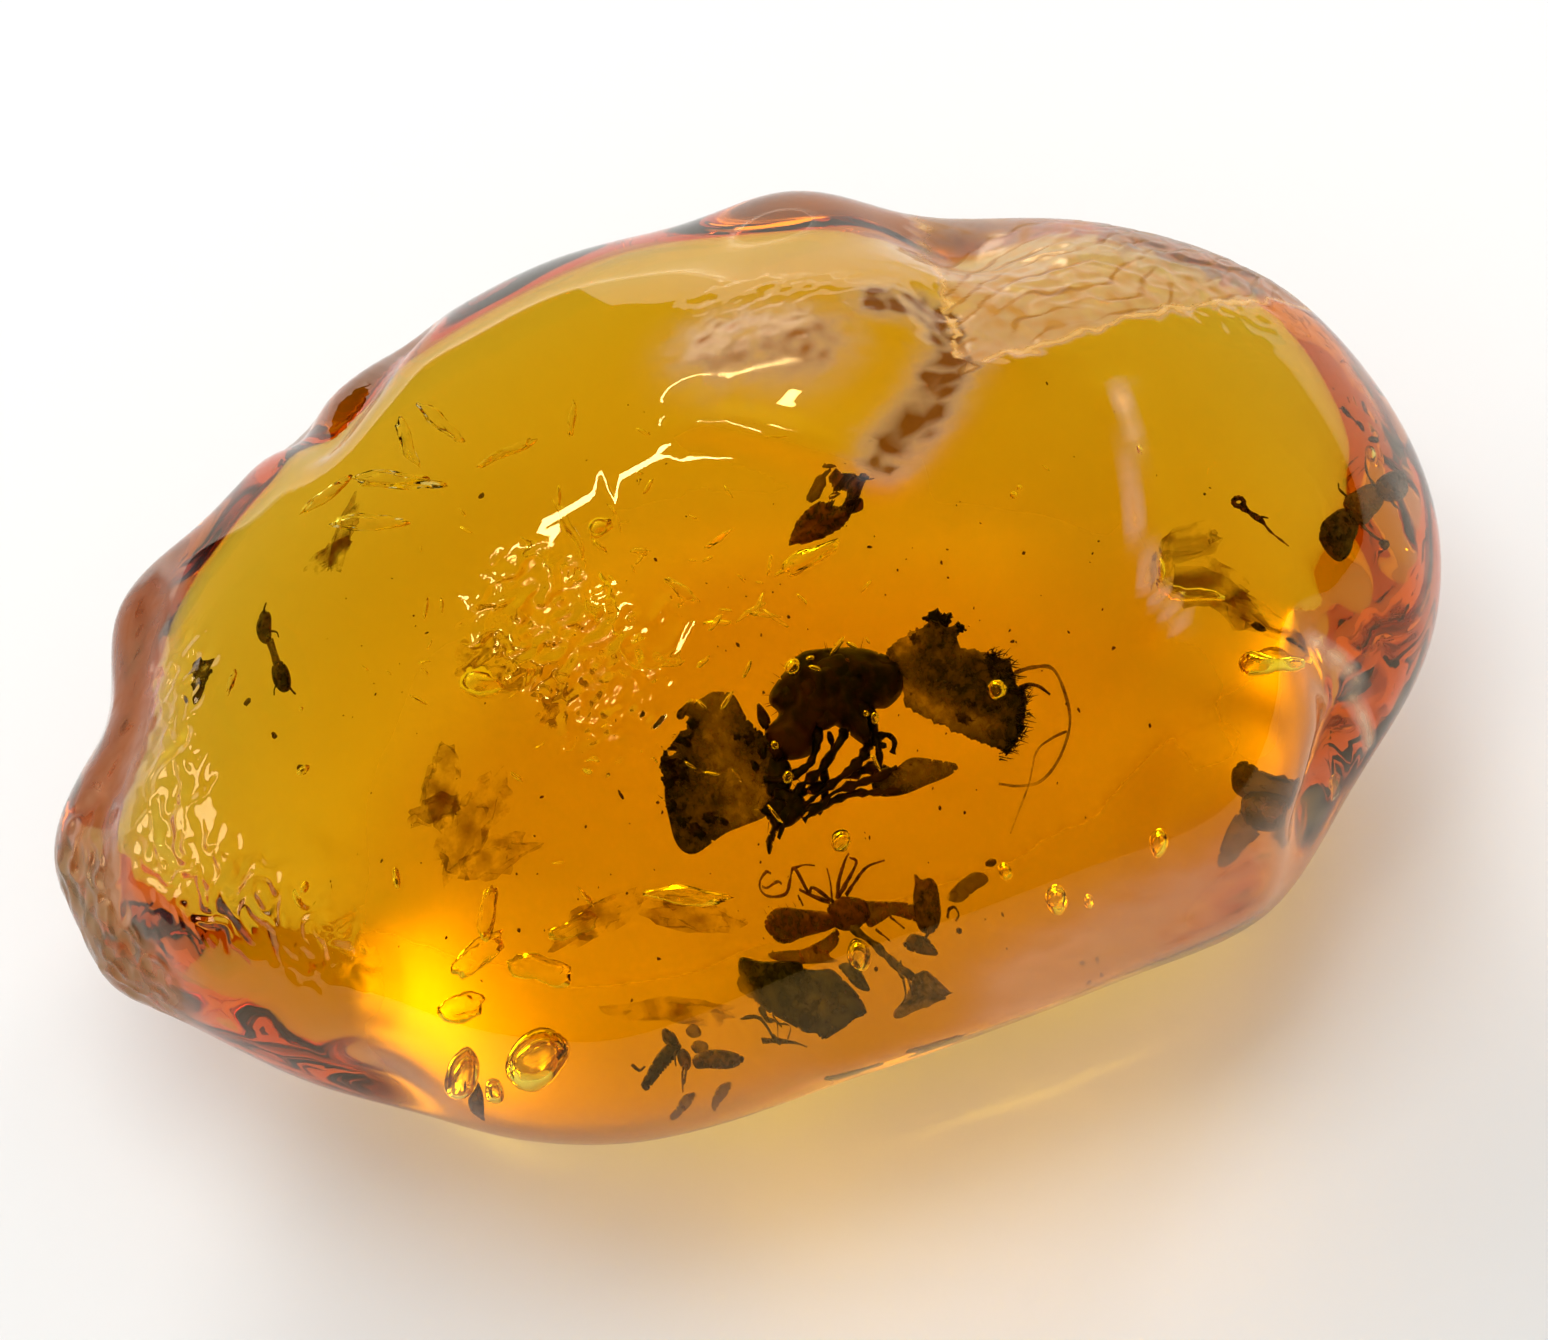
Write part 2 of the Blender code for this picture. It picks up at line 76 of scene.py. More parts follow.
# Fine creases that catch the light: points along the crease, half width, depth
CREASES = (
    (((-6.3, -1.5, 18.8), (-5.1, -3.4, 18.8), (-3.6, -5.2, 18.6), (-3.1, -6.1, 18.4)), 0.16, 0.06),
    (((-5.3, -3.7, 18.7), (-5.1, -4.9, 18.5), (-5.7, -6.6, 17.9)), 0.14, 0.05),
    (((-2.2, 3.2, 19.3), (-2.4, 0.8, 19.4), (-2.4, -0.9, 19.4)), 0.12, 0.03),
    (((-0.2, 1.6, 19.6), (0.2, -0.3, 19.7)), 0.14, 0.03),
    (((-2.1, -4.0, 19.0), (-1.6, -3.6, 19.0), (-1.2, -4.4, 18.9), (-1.9, -5.2, 18.8)), 0.15, 0.05),
    (((0.2, 2.9, 19.3), (1.9, 2.7, 19.5), (3.9, 1.3, 19.7), (6.1, -1.1, 19.3)), 0.3, -0.09),
)
# Wrinkled stretches: points along the stretch, reach, height and length of the wrinkles
WRINKLES = (
    (((-17.3, 2.8, 13.6), (-18.4, -0.5, 13.1), (-18.8, -2.9, 12.2), (-16.3, -6.4, 12.9),
     (-14.9, -8.1, 13.0)), 1.0, 0.1, 1.3),
    (((-5.9, -2.0, 18.7), (-4.3, -4.6, 18.5), (-4.0, -6.2, 18.0)), 1.2, 0.12, 0.9),
    (((11.5, 6.0, 16.8), (14.5, 7.5, 15.3), (18.0, 7.0, 13.5)), 2.2, 0.07, 1.5),
    (((2.6, 6.2, 19.3), (6.2, 5.0, 19.6)), 1.2, 0.03, 1.0),
    (((-22.0, 0.0, 9.4), (-21.6, -3.6, 8.6)), 1.2, 0.12, 1.6),
)
# Weathered stretches, painted highlights and painted reflections: points along the stretch, reach, colour,
# how much they hide the clear resin
BLOOMS_AND_SHEENS = (
    (((-18.4, 6.8, 12.2), (-19.4, 4.6, 11.6), (-19.8, 2.6, 11.7), (-21.0, 1.8, 10.6)), 1.0,
     (0.28, 0.07, 0.02), 0.75),
    (((-22.2, 0.0, 9.4), (-22.3, -2.0, 8.6), (-21.2, -4.4, 8.0)), 1.2, (0.36, 0.19, 0.08), 0.6),
    # Painted reflections of the pale floor: milky strips along the front rim and the right end
    (((6.2, -14.6, 9.2), (10.0, -14.1, 9.6), (13.5, -12.9, 9.2), (15.5, -11.4, 8.6)), 1.2,
     (0.95, 0.66, 0.34), 0.24),
    (((21.9, 3.0, 11.0), (21.7, -2.3, 10.6), (21.3, -5.1, 9.0), (19.8, -7.0, 7.2)), 0.6,
     (0.95, 0.7, 0.42), 0.16),
    # Painted highlights: a pale streak down the right shoulder and a pale hook near the right end
    (((13.9, 0.8, 17.2), (13.4, -2.0, 17.3), (12.9, -4.4, 17.2), (12.7, -6.4, 16.7), (13.3, -7.8, 15.8)),
     0.11, (1.0, 0.62, 0.28), 0.36),
    (((16.9, -7.4, 12.9), (17.5, -7.6, 12.2), (18.2, -7.7, 10.7), (18.3, -7.9, 8.9), (18.3, -8.3, 7.3)),
     0.17, (1.0, 0.8, 0.58), 0.5),
    # A painted dark reflection along the edge of the lobe on top
    (((7.4, 5.2, 19.3), (9.3, 4.8, 18.1), (9.0, 2.4, 18.6), (7.5, 0.2, 19.2), (6.2, -0.9, 19.3)), 0.5,
     (0.15, 0.05, 0.01), 0.34),
    # A brown weathered stretch beside the lobe
    (((2.4, 5.0, 19.4), (4.6, 3.8, 20.0)), 0.9, (0.26, 0.09, 0.015), 0.25),
)
# The crazed shoulder: where its lower edge starts, how steeply that rises to the right, its left edge and its
# lowest point
CRAZED_FOOT = Vector((8.8, 1.7))
CRAZED_RISE = 0.333
CRAZED_LEFT = 9.3
CRAZED_LOWEST = 11.0
# The crazed skin's matt tan, paler along its ragged lower edge, is partly its own colour and partly a painted
# reflection of the bright room behind the nugget
CRAZED_TAN_AND_REFLECTION_COLOUR = (0.62, 0.33, 0.1)
CRAZED_EDGE_TAN_AND_REFLECTION_COLOUR = (0.95, 0.62, 0.25)
CRACK_SPACING = 0.8
CRACK_DEPTH = 0.03
CRACK_WIDTH = 0.13
CRACK_COLOUR = (0.25, 0.1, 0.03)
# How much each hides the clear resin, and how matt each is
CRAZED_HAZE = 0.25
CRAZED_EDGE_HAZE = 0.45
CRACK_HAZE = 0.3
CRAZED_ROUGHNESS = 0.28
BLOOM_AND_SHEEN_ROUGHNESS = 0.6
UNPOLISHED_ROUGHNESS = 0.5
# The underside was never polished
UNPOLISHED_BELOW = 1.5
PITTED_BELOW = 3.0
PIT_HEIGHT = 0.1
PIT_LENGTH = 2.4
FINE_GRAIN = 2.3
# Without a seed, noise_vector would bend the wrinkles another way in each run
WRINKLE_SEED = 1
# How gradually the underside rounds into the face that it rests on
FOOT_ROUNDING = 0.25
RIPPLE_HEIGHT = 0.03
RIPPLE_LENGTH = 4.5
SKIN_CUTS = 66
FINE_CUTS = 3
FINE_REACH = 0.3
SKIN_INSET = 0.06
# The layer of inclusions: u along the nugget, v up its slope, w off it
LAYER = Matrix.Translation((0, 0, 9.5 * MM)) @ Matrix.Rotation(math.radians(20.0), 4, "X")
IN_LAYER = LAYER @ Matrix.Scale(MM, 4)
# Gas bubbles: u, v, w, radius, length over width, turn in degrees
BUBBLES = (
    (0.97, -8.75, 0.6, 0.32, 1.25, 40), (7.05, -8.8, 0.8, 0.3, 1.1, 20),
    (10.4, -8.35, 0.9, 0.26, 1.2, 60), (5.9, -7.9, 0.8, 0.2, 1.0, 0), (1.5, -6.25, 1.0, 0.26, 1.3, 20),
    (7.95, -8.9, 0.5, 0.16, 1.0, 0), (1.7, -1.75, 1.3, 0.22, 1.2, 20), (7.05, -3.7, 0.8, 0.27, 1.0, 0),
    (3.6, -3.5, 0.9, 0.13, 1.3, 70), (0.45, -3.5, 0.9, 0.12, 1.2, 10), (0.55, -4.35, 0.9, 0.16, 1.3, 30),
    (3.4, -3.35, 1.0, 0.09, 1.0, 0), (2.3, -1.65, 1.25, 0.07, 2.0, 0), (2.35, -1.95, 1.3, 0.08, 2.4, -30),
    (3.6, -1.6, 1.1, 0.07, 2.4, -40), (-8.6, -9.4, 1.0, 0.6, 1.5, 15), (-10.6, -9.2, 1.0, 0.42, 1.4, 60),
    (-9.9, -9.6, 0.6, 0.25, 1.0, 0), (-2.82, 3.4, 4.0, 0.3, 1.0, 0), (-7.2, 0.1, 2.0, 0.42, 1.5, -25),
    (8.95, 1.1, 1.0, 0.11, 1.0, 0), (9.15, 1.25, 1.0, 0.08, 1.0, 0), (-13.0, -0.3, 0.6, 0.12, 2.2, 10),
    (-10.9, -4.0, 0.4, 0.12, 2.4, 80), (-13.9, -3.4, 0.4, 0.14, 1.5, 30), (-12.6, 1.4, 0.6, 0.07, 1.0, 0),
    (3.5, 5.7, 1.2, 0.14, 1.0, 0), (14.0, -4.9, 0.8, 0.3, 1.3, 10), (13.1, 1.4, 0.8, 0.15, 1.0, 0),
    (16.5, -3.8, 0.6, 0.12, 1.0, 0), (12.6, -1.9, 0.6, 0.22, 1.4, 70), (20.3, 0.3, 0.6, 0.22, 1.4, 60),
    (-3.3, -3.2, 1.2, 0.1, 1.0, 0),
)
# Splits, each a thin gap in the resin: u, v, w, length, width, gap, turn in degrees, tilt in degrees
SPLITS = (
    (-4.8, 6.8, 4.0, 1.9, 0.35, 0.05, 6, 30), (-2.7, 7.2, 4.0, 1.1, 0.3, 0.05, 70, 25),
    (-4.6, 3.1, 4.0, 1.4, 0.3, 0.05, -50, 40), (-3.6, 3.6, 3.6, 1.8, 0.3, 0.05, -78, 35),
    (0.6, 2.0, 4.0, 0.9, 0.2, 0.04, 22, 30), (-0.9, 0.8, 4.0, 1.2, 0.28, 0.04, -53, 30),
    (-1.8, 2.3, 4.0, 0.6, 0.22, 0.04, -20, 20), (-2.95, 0.8, 2.2, 2.1, 0.5, 0.06, -85, 50),
    (-2.5, -0.5, 2.6, 1.3, 0.4, 0.06, -60, 40), (-2.0, -0.9, 2.8, 0.9, 0.3, 0.05, -5, 30),
    (0.9, -0.2, 3.0, 0.9, 0.14, 0.04, 15, 30), (1.3, -0.4, 3.0, 1.0, 0.12, 0.04, -25, 30),
    (1.6, -0.6, 3.0, 0.8, 0.12, 0.04, -50, 30), (1.2, -0.1, 3.1, 0.7, 0.14, 0.04, 55, 30),
    (-3.4, -6.55, 0.6, 1.9, 0.42, 0.16, -16, 10), (3.0, 1.15, 0.4, 2.0, 0.5, 0.22, 14, 10),
    (-7.7, 8.6, 1.0, 2.0, 0.45, 0.05, -80, 30), (-8.4, 7.4, 1.2, 3.2, 0.6, 0.05, -30, 30),
    (-9.4, 6.3, 1.0, 2.5, 0.5, 0.05, -25, 30), (-6.6, 8.8, 1.4, 2.5, 0.45, 0.05, -60, 35),
    (-10.6, 8.0, 0.6, 1.8, 0.6, 0.05, 10, 30), (-9.0, -6.0, -1.6, 1.6, 0.6, 0.06, 20, 25),
    (-7.6, -6.6, -1.8, 1.4, 0.6, 0.06, -30, 25), (-8.4, -5.2, -1.4, 1.3, 0.5, 0.06, 60, 30),
    (-6.6, -6.0, -1.6, 1.2, 0.4, 0.05, 10, 30), (-9.8, -7.0, -1.2, 1.1, 0.5, 0.05, -10, 30),
    (-14.9, 3.1, 0.8, 0.7, 0.3, 0.05, 60, 30), (12.9, -2.6, 0.6, 1.6, 0.5, 0.05, -30, 30),
    (14.6, -4.6, 0.5, 1.0, 0.4, 0.05, 10, 30), (16.4, -9.0, 0.4, 0.9, 0.4, 0.05, 60, 30),
)
BUBBLE_UNEVEN = 0.15
SPLIT_UNEVEN = 0.7
SMALL_SPLITS = 90
SMALL_SPLIT_UNEVEN = 0.6
# How strongly the resin bends light, and the colour and density of its absorption
RESIN_IOR = 1.54
RESIN_COLOUR = (0.978, 0.872, 0.04, 1.0)
RESIN_DENSITY = 290.0
GLOSS_TINT = (1.0, 0.6, 0.15, 1.0)


def piece_from(bm, name, material, node_names):
    """Makes a finished piece of a bmesh in metres: it rides on the body and stands for these solids."""
    mesh = bpy.data.meshes.new(name)
    bm.to_mesh(mesh)
    bm.free()
    mesh.polygons.foreach_set("use_smooth", [True] * len(mesh.polygons))
    mesh.materials.append(material)
    obj = bpy.data.objects.new(name, mesh)
    bpy.context.scene.collection.objects.link(obj)
    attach(obj, "root")
    if node_names:
        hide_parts(*node_names)


def sections_at(x):
    """Half width, half height, middle y and middle z of the nugget at each x."""
    last = len(SECTIONS) - 2
    index = np.clip(np.searchsorted(SECTIONS[:, 0], x, side="right") - 1, 0, last)
    before = SECTIONS[np.maximum(index - 1, 0)]
    start = SECTIONS[index]
    end = SECTIONS[index + 1]
    after = SECTIONS[np.minimum(index + 2, last + 1)]
    span = (end[:, 0] - start[:, 0])[:, None]
    t = np.clip((x[:, None] - start[:, :1]) / span, 0.0, 1.0)
    slope_start = (end - before) / (end[:, :1] - before[:, :1]) * span
    slope_end = (after - start) / (after[:, :1] - start[:, :1]) * span
    mixed = (
        (2 * t**3 - 3 * t**2 + 1) * start
        + (t**3 - 2 * t**2 + t) * slope_start
        + (3 * t**2 - 2 * t**3) * end
        + (t**3 - t**2) * slope_end
    )
    return mixed[:, 1:]


def closeness(points, line, reach):
    """1 on the line, falling to 0 away from it."""
    least = np.full(len(points), np.inf)
    for start, end in zip(line, line[1:]):
        start = np.array(start)
        along = np.array(end) - start
        t = np.clip((points - start) @ along / (along @ along), 0.0, 1.0)
        least = np.minimum(least, ((points - start - t[:, None] * along) ** 2).sum(axis=1))
    return np.exp(-least / (2 * reach**2))


def rolled_skin(directions):
    """The nugget's skin, in millimetres, for points of the unit sphere, and the outward direction there."""
    x = HALF_LENGTH * directions[:, 0]
    half_width, half_height, middle_y, middle_z = sections_at(x).T
    y = middle_y + half_width * directions[:, 1]
    z = middle_z + half_height * directions[:, 2]
    points = np.stack([x, y, z], axis=1)
    outward = directions / np.stack([np.full(len(x), HALF_LENGTH), half_width, half_height], axis=1)
    outward /= np.linalg.norm(outward, axis=1)[:, None]
    push = np.full(len(x), -SKIN_INSET)
    for sx, sy, sz, radius, height in SWELLINGS:
        distance = ((points - np.array((sx, sy, sz))) ** 2).sum(axis=1)
        push += height * np.exp(-distance / (2 * radius**2))
    for line, half_width_of_fold, height in FOLDS:
        push += height * closeness(points, line, half_width_of_fold)
    return points + push[:, None] * outward, outward


def fine_relief(points):
    """How far the slow ripple, the pits below, the creases and the wrinkles lift the skin, in mm."""
    push = np.array([RIPPLE_HEIGHT * (noise.noise(Vector(point) / RIPPLE_LENGTH) - 0.5) for point in points])
    pitted = np.clip(1.0 - points[:, 2] / PITTED_BELOW, 0.0, 1.0)
    for i in np.flatnonzero(pitted):
        place = Vector(points[i]) / PIT_LENGTH
        bumpy = noise.noise(place) + 0.5 * noise.noise(place * FINE_GRAIN)
        push[i] += PIT_HEIGHT * pitted[i] ** 0.5 * bumpy
    for line, half_width, depth in CREASES:
        push -= depth * closeness(points, line, half_width)
    noise.seed_set(WRINKLE_SEED)
    for line, reach, height, length in WRINKLES:
        share = closeness(points, line, reach)
        for i in np.flatnonzero(share > 0.02):
            place = Vector(points[i]) / length
            ridge = 1 - 3 * abs(noise.noise(place + 0.6 * noise.noise_vector(place * 1.7)))
            push[i] += share[i] * height * (ridge - 0.8)
    return push


def crazed_share(points):
    """How far each point is inside the crazed shoulder, across its ragged lower edge, in millimetres."""
    ragged = np.array([
        0.5 * noise.noise(Vector(point) / 1.1) + 0.25 * noise.noise(Vector(point) / 0.4) for point in points
    ])
    above_foot = points[:, 1] - CRAZED_FOOT.y - CRAZED_RISE * (points[:, 0] - CRAZED_FOOT.x) + ragged
    right_of_edge = points[:, 0] - CRAZED_LEFT + ragged
    above_lowest = points[:, 2] - CRAZED_LOWEST
    return np.minimum(np.minimum(above_foot, right_of_edge), above_lowest)


def amber_skin():
    """The outer skin, with four times finer mesh where it is creased or wrinkled."""
    bm = bmesh.new()
    bmesh.ops.create_cube(bm, size=2.0)
    bmesh.ops.subdivide_edges(bm, edges=bm.edges[:], cuts=SKIN_CUTS, use_grid_fill=True)
    for vert in bm.verts:
        vert.co = Vector([math.tan(k * math.pi / 4) for k in vert.co]).normalized()
    points = rolled_skin(np.array([vert.co for vert in bm.verts]))[0]
    fine = np.zeros(len(points), bool)
    for line, reach in [crease[:2] for crease in CREASES] + [wrinkle[:2] for wrinkle in WRINKLES]:
        fine |= closeness(points, line, max(reach, FINE_REACH)) > 0.1
    bm.verts.ensure_lookup_table()
    chosen = [edge for edge in bm.edges if fine[edge.verts[0].index] and fine[edge.verts[1].index]]
    bmesh.ops.subdivide_edges(bm, edges=chosen, cuts=FINE_CUTS, use_grid_fill=True)
    directions = np.array([vert.co.normalized() for vert in bm.verts])
    points, outward = rolled_skin(directions)
    points += fine_relief(points)[:, None] * outward
    points[:, 2] = FOOT_ROUNDING * np.log1p(np.exp(points[:, 2] / FOOT_ROUNDING))
    for vert, point in zip(bm.verts, points):
        vert.co = Vector(point)
    bmesh.ops.recalc_face_normals(bm, faces=bm.faces)
    return bm


def crack_share(point):
    """1 on the wavy cracks that run along the crazed shoulder, falling to 0 between them."""
    across = point.y - CRAZED_RISE * point.x + 0.4 * point.z
    wandering = 1.3 * noise.noise(point / 3.4) + 0.35 * noise.noise(point / 0.9)
    phase = (across / CRACK_SPACING + wandering) % 1.0
    broken = 0.5 + 1.3 * noise.noise(point / 1.7 + Vector((7, 0, 0)))
    return max(0.0, 1.0 - abs(phase - 0.5) / CRACK_WIDTH) * min(max(broken, 0.0), 1.0)


def weather_and_sheen_skin(bm):
    """Says for each point of the skin how far it is weathered or carries a painted highlight or reflection,
    in what colour, and how matt.
    """
    bloom_and_sheen = bm.verts.layers.float.new("bloom_and_sheen")
    bloom_and_sheen_colour = bm.verts.layers.float_color.new("bloom_and_sheen_colour")
    matt = bm.verts.layers.float.new("matt")
    points = np.array([vert.co for vert in bm.verts])
    mottled = np.array([0.8 + 0.7 * noise.noise(Vector(point) / 0.5) for point in points])
    inside = crazed_share(points)
    share = np.clip(inside / 0.2, 0.0, 1.0)
    edge = np.exp(-((inside - 0.1) / 0.16) ** 2)
    # The crazed tan is partly a painted reflection of the bright room; the cracks in it are the skin's own.
    amount = np.maximum(CRAZED_HAZE * share * mottled, CRAZED_EDGE_HAZE * edge)
    middle_tone = np.array(CRAZED_TAN_AND_REFLECTION_COLOUR)
    colour = middle_tone + edge[:, None] * (np.array(CRAZED_EDGE_TAN_AND_REFLECTION_COLOUR) - middle_tone)
    sunk = np.zeros(len(points))
    for i in np.flatnonzero(share > 0.5):
        sunk[i] = crack_share(Vector(points[i]))
    amount += CRACK_HAZE * sunk
    colour += sunk[:, None] * (np.array(CRACK_COLOUR) - colour)
    # Weathered stretches, painted highlights and painted reflections take over where they are stronger
    for line, reach, stain_and_sheen, strength in BLOOMS_AND_SHEENS:
        here = np.clip(1.6 * closeness(points, line, reach), 0.0, 1.0) * strength * mottled
        colour = np.where((here > amount)[:, None], np.array(stain_and_sheen), colour)
        amount = np.maximum(amount, here)
    under = np.clip((UNPOLISHED_BELOW - points[:, 2]) / UNPOLISHED_BELOW, 0.0, 1.0)
    rough = np.maximum(UNPOLISHED_ROUGHNESS * under, CRAZED_ROUGHNESS * share)
    rough = np.maximum(rough, BLOOM_AND_SHEEN_ROUGHNESS * amount)
    for vert, much, tone, roughness, depth in zip(bm.verts, amount, colour, rough, sunk.tolist()):
        vert[bloom_and_sheen] = much
        vert[bloom_and_sheen_colour] = (*tone, 1.0)
        vert[matt] = roughness
        vert.co -= CRACK_DEPTH * depth * vert.normal


def hollow(bm, half_sizes, place, seed, roughen, subdivisions):
    """A gas-filled hollow in the resin: a rounded shell whose faces look inward."""
    made = bmesh.ops.create_icosphere(bm, subdivisions=subdivisions, radius=1.0)["verts"]
    for vert in made:
        swelling = 1 + roughen * noise.noise(vert.co * 1.3 + Vector((seed, 0, 0)))
        vert.co = Vector([k * half_size for k, half_size in zip(vert.co, half_sizes)])
        vert.co.x *= swelling
        vert.co.y *= swelling
        vert.co.z += roughen * 0.25 * half_sizes[0] * noise.noise(vert.co * 1.1 + Vector((0, seed, 0)))
    bmesh.ops.transform(bm, matrix=place, verts=made)


def turned_and_tilted(turn, tilt):
    return Matrix.Rotation(turn, 4, "Z") @ Matrix.Rotation(tilt, 4, "X")


def hollows():
    """All the bubbles and splits, as one mesh."""
    bm = bmesh.new()
    for number, (u, v, w, radius, stretch, turn) in enumerate(BUBBLES):
        place = Matrix.Translation((u, v, w)) @ Matrix.Rotation(math.radians(turn), 4, "Z")
        fineness = 3 if radius > 0.2 else 2
        hollow(bm, (radius * stretch, radius, radius), place, number, BUBBLE_UNEVEN, fineness)
    for number, (u, v, w, length, width, gap, turn, tilt) in enumerate(SPLITS):
        turned = turned_and_tilted(math.radians(turn), math.radians(tilt))
        place = Matrix.Translation((u, v, w)) @ turned
        hollow(bm, (length / 2, width / 2, gap / 2), place, 3.7 * number, SPLIT_UNEVEN, 3)
    chance = random.Random(11)
    for number in range(SMALL_SPLITS):
        middle = (chance.gauss(-3, 4.0), chance.gauss(1.5, 3.0), chance.uniform(0.0, 4.0))
        if (middle[0] / 15) ** 2 + (middle[1] / 8) ** 2 > 0.8:
            continue
        turned = turned_and_tilted(chance.uniform(0, math.pi), chance.uniform(0.2, 0.9))
        length = chance.uniform(0.15, 0.7)
        place = Matrix.Translation(middle) @ turned
        hollow(bm, (length / 2, length * 0.14, 0.02), place, 50 + number, SMALL_SPLIT_UNEVEN, 2)
    bmesh.ops.reverse_faces(bm, faces=bm.faces)
    bmesh.ops.transform(bm, matrix=IN_LAYER, verts=bm.verts)
    mesh = bpy.data.meshes.new("hollows")
    bm.to_mesh(mesh)
    bm.free()
    return mesh


def new_material(name, values):
    """A material with these values on its shader, and the shader and the links to go on with."""
    material = bpy.data.materials.new(name)
    material.use_nodes = True
    shader = material.node_tree.nodes["Principled BSDF"]
    for socket, value in values.items():
        shader.inputs[socket].default_value = value
    return material, shader, material.node_tree.links


def add_node(material, kind, values, **settings):
    """One more node of this kind, with these settings and these values on its sockets."""
    node = material.node_tree.nodes.new("ShaderNode" + kind)
    for setting, value in settings.items():
        setattr(node, setting, value)
    for socket, value in values.items():
        node.inputs[socket].default_value = value
    return node


def amber_material():
    """Clear resin; where the skin is weathered or carries a painted highlight or reflection, a dull coloured
    layer takes the place of clear resin.
    """
    material, shader, links = new_material("amber", {"IOR": RESIN_IOR, "Specular Tint": GLOSS_TINT})
    bloom_and_sheen = add_node(material, "Attribute", {}, attribute_name="bloom_and_sheen").outputs["Fac"]
    bloom_and_sheen_colour = add_node(material, "Attribute", {}, attribute_name="bloom_and_sheen_colour").outputs["Color"]
    matt = add_node(material, "Attribute", {}, attribute_name="matt").outputs["Fac"]
    how_much = add_node(material, "MapRange", {"From Max": 0.3})
    tinted = add_node(material, "Mix", {"A": (1.0, 1.0, 1.0, 1.0)}, data_type="RGBA")
    links.new(bloom_and_sheen, how_much.inputs["Value"])
    links.new(how_much.outputs["Result"], tinted.inputs["Factor"])
    links.new(bloom_and_sheen_colour, tinted.inputs["B"])
    links.new(tinted.outputs["Result"], shader.inputs["Base Color"])
    seen_through = add_node(material, "Math", {0: 1.0}, operation="SUBTRACT", use_clamp=True)
    links.new(bloom_and_sheen, seen_through.inputs[1])
    links.new(seen_through.outputs["Value"], shader.inputs["Transmission Weight"])
    links.new(matt, shader.inputs["Roughness"])
    absorption = add_node(material, "VolumeAbsorption", {"Color": RESIN_COLOUR, "Density": RESIN_DENSITY})
    links.new(absorption.outputs["Volume"], material.node_tree.nodes["Material Output"].inputs["Volume"])
    return material


skin = amber_skin()
weather_and_sheen_skin(skin)
bmesh.ops.scale(skin, vec=(MM, MM, MM), verts=skin.verts)
skin.from_mesh(hollows())
piece_from(skin, "amber", amber_material(), ("amber_upper", "amber_lower"))

# Main insect
# The insect the nugget is kept for: a dark, hunched one, 11 mm across, that the resin ran over. Its
# body is a charred-looking crust, its two wings still carry patches of black scales on a smoky
# membrane, and its legs lie tangled below it. Everything sits in the resin itself.

def curve_through(points, closed=False, steps=5):
    """Points along a smooth curve through the given ones."""
    known = [np.array(point, dtype=float) for point in points]
    if closed:
        known = known[-1:] + known + known[:2]
    else:
        known = [2 * known[0] - known[1]] + known + [2 * known[-1] - known[-2]]
    curve = []
    for before, start, end, after in zip(known, known[1:], known[2:], known[3:]):
        for k in range(steps):
            t = k / steps
            square = 2 * before - 5 * start + 4 * end - after
            cube = 3 * start - before - 3 * end + after
            curve.append(0.5 * (2 * start + (end - before) * t + square * t**2 + cube * t**3))
    if not closed:
        curve.append(known[-2])
    return curve


def rim_distance(points, rim):
    """How far inside the rim each point lies, below zero outside it, and the nearest place on the rim."""
    start = np.array(rim)[:, :2]
    end = np.roll(start, -1, axis=0)
    along = end - start
    offset = points[:, None, :2] - start
    t = np.clip((offset * along).sum(axis=2) / (along**2).sum(axis=1), 0.0, 1.0)
    nearest = start + t[..., None] * along
    away = np.linalg.norm(points[:, None, :2] - nearest, axis=2)
    closest = away.argmin(axis=1)
    v = points[:, None, 1]
    spans = (start[:, 1] > v) != (end[:, 1] > v)
    rise = np.where(along[:, 1] == 0, 1.0, along[:, 1])
    crossing = start[:, 0] + (v - start[:, 1]) / rise * along[:, 0]
    within = (spans & (points[:, None, 0] < crossing)).sum(axis=1) % 2 == 1
    rows = np.arange(len(points))
    return np.where(within, 1.0, -1.0) * away[rows, closest], nearest[rows, closest]


# Lumps and flakes: how flat the far side is, the grain of torn rims and of bends, and how rims are joined
FAR_SIDE = 0.8
TORN_GRAIN = 0.22
TORN_ROUNDS = 3
BEND_GRAIN = 0.9
RIM_MERGE = 0.002


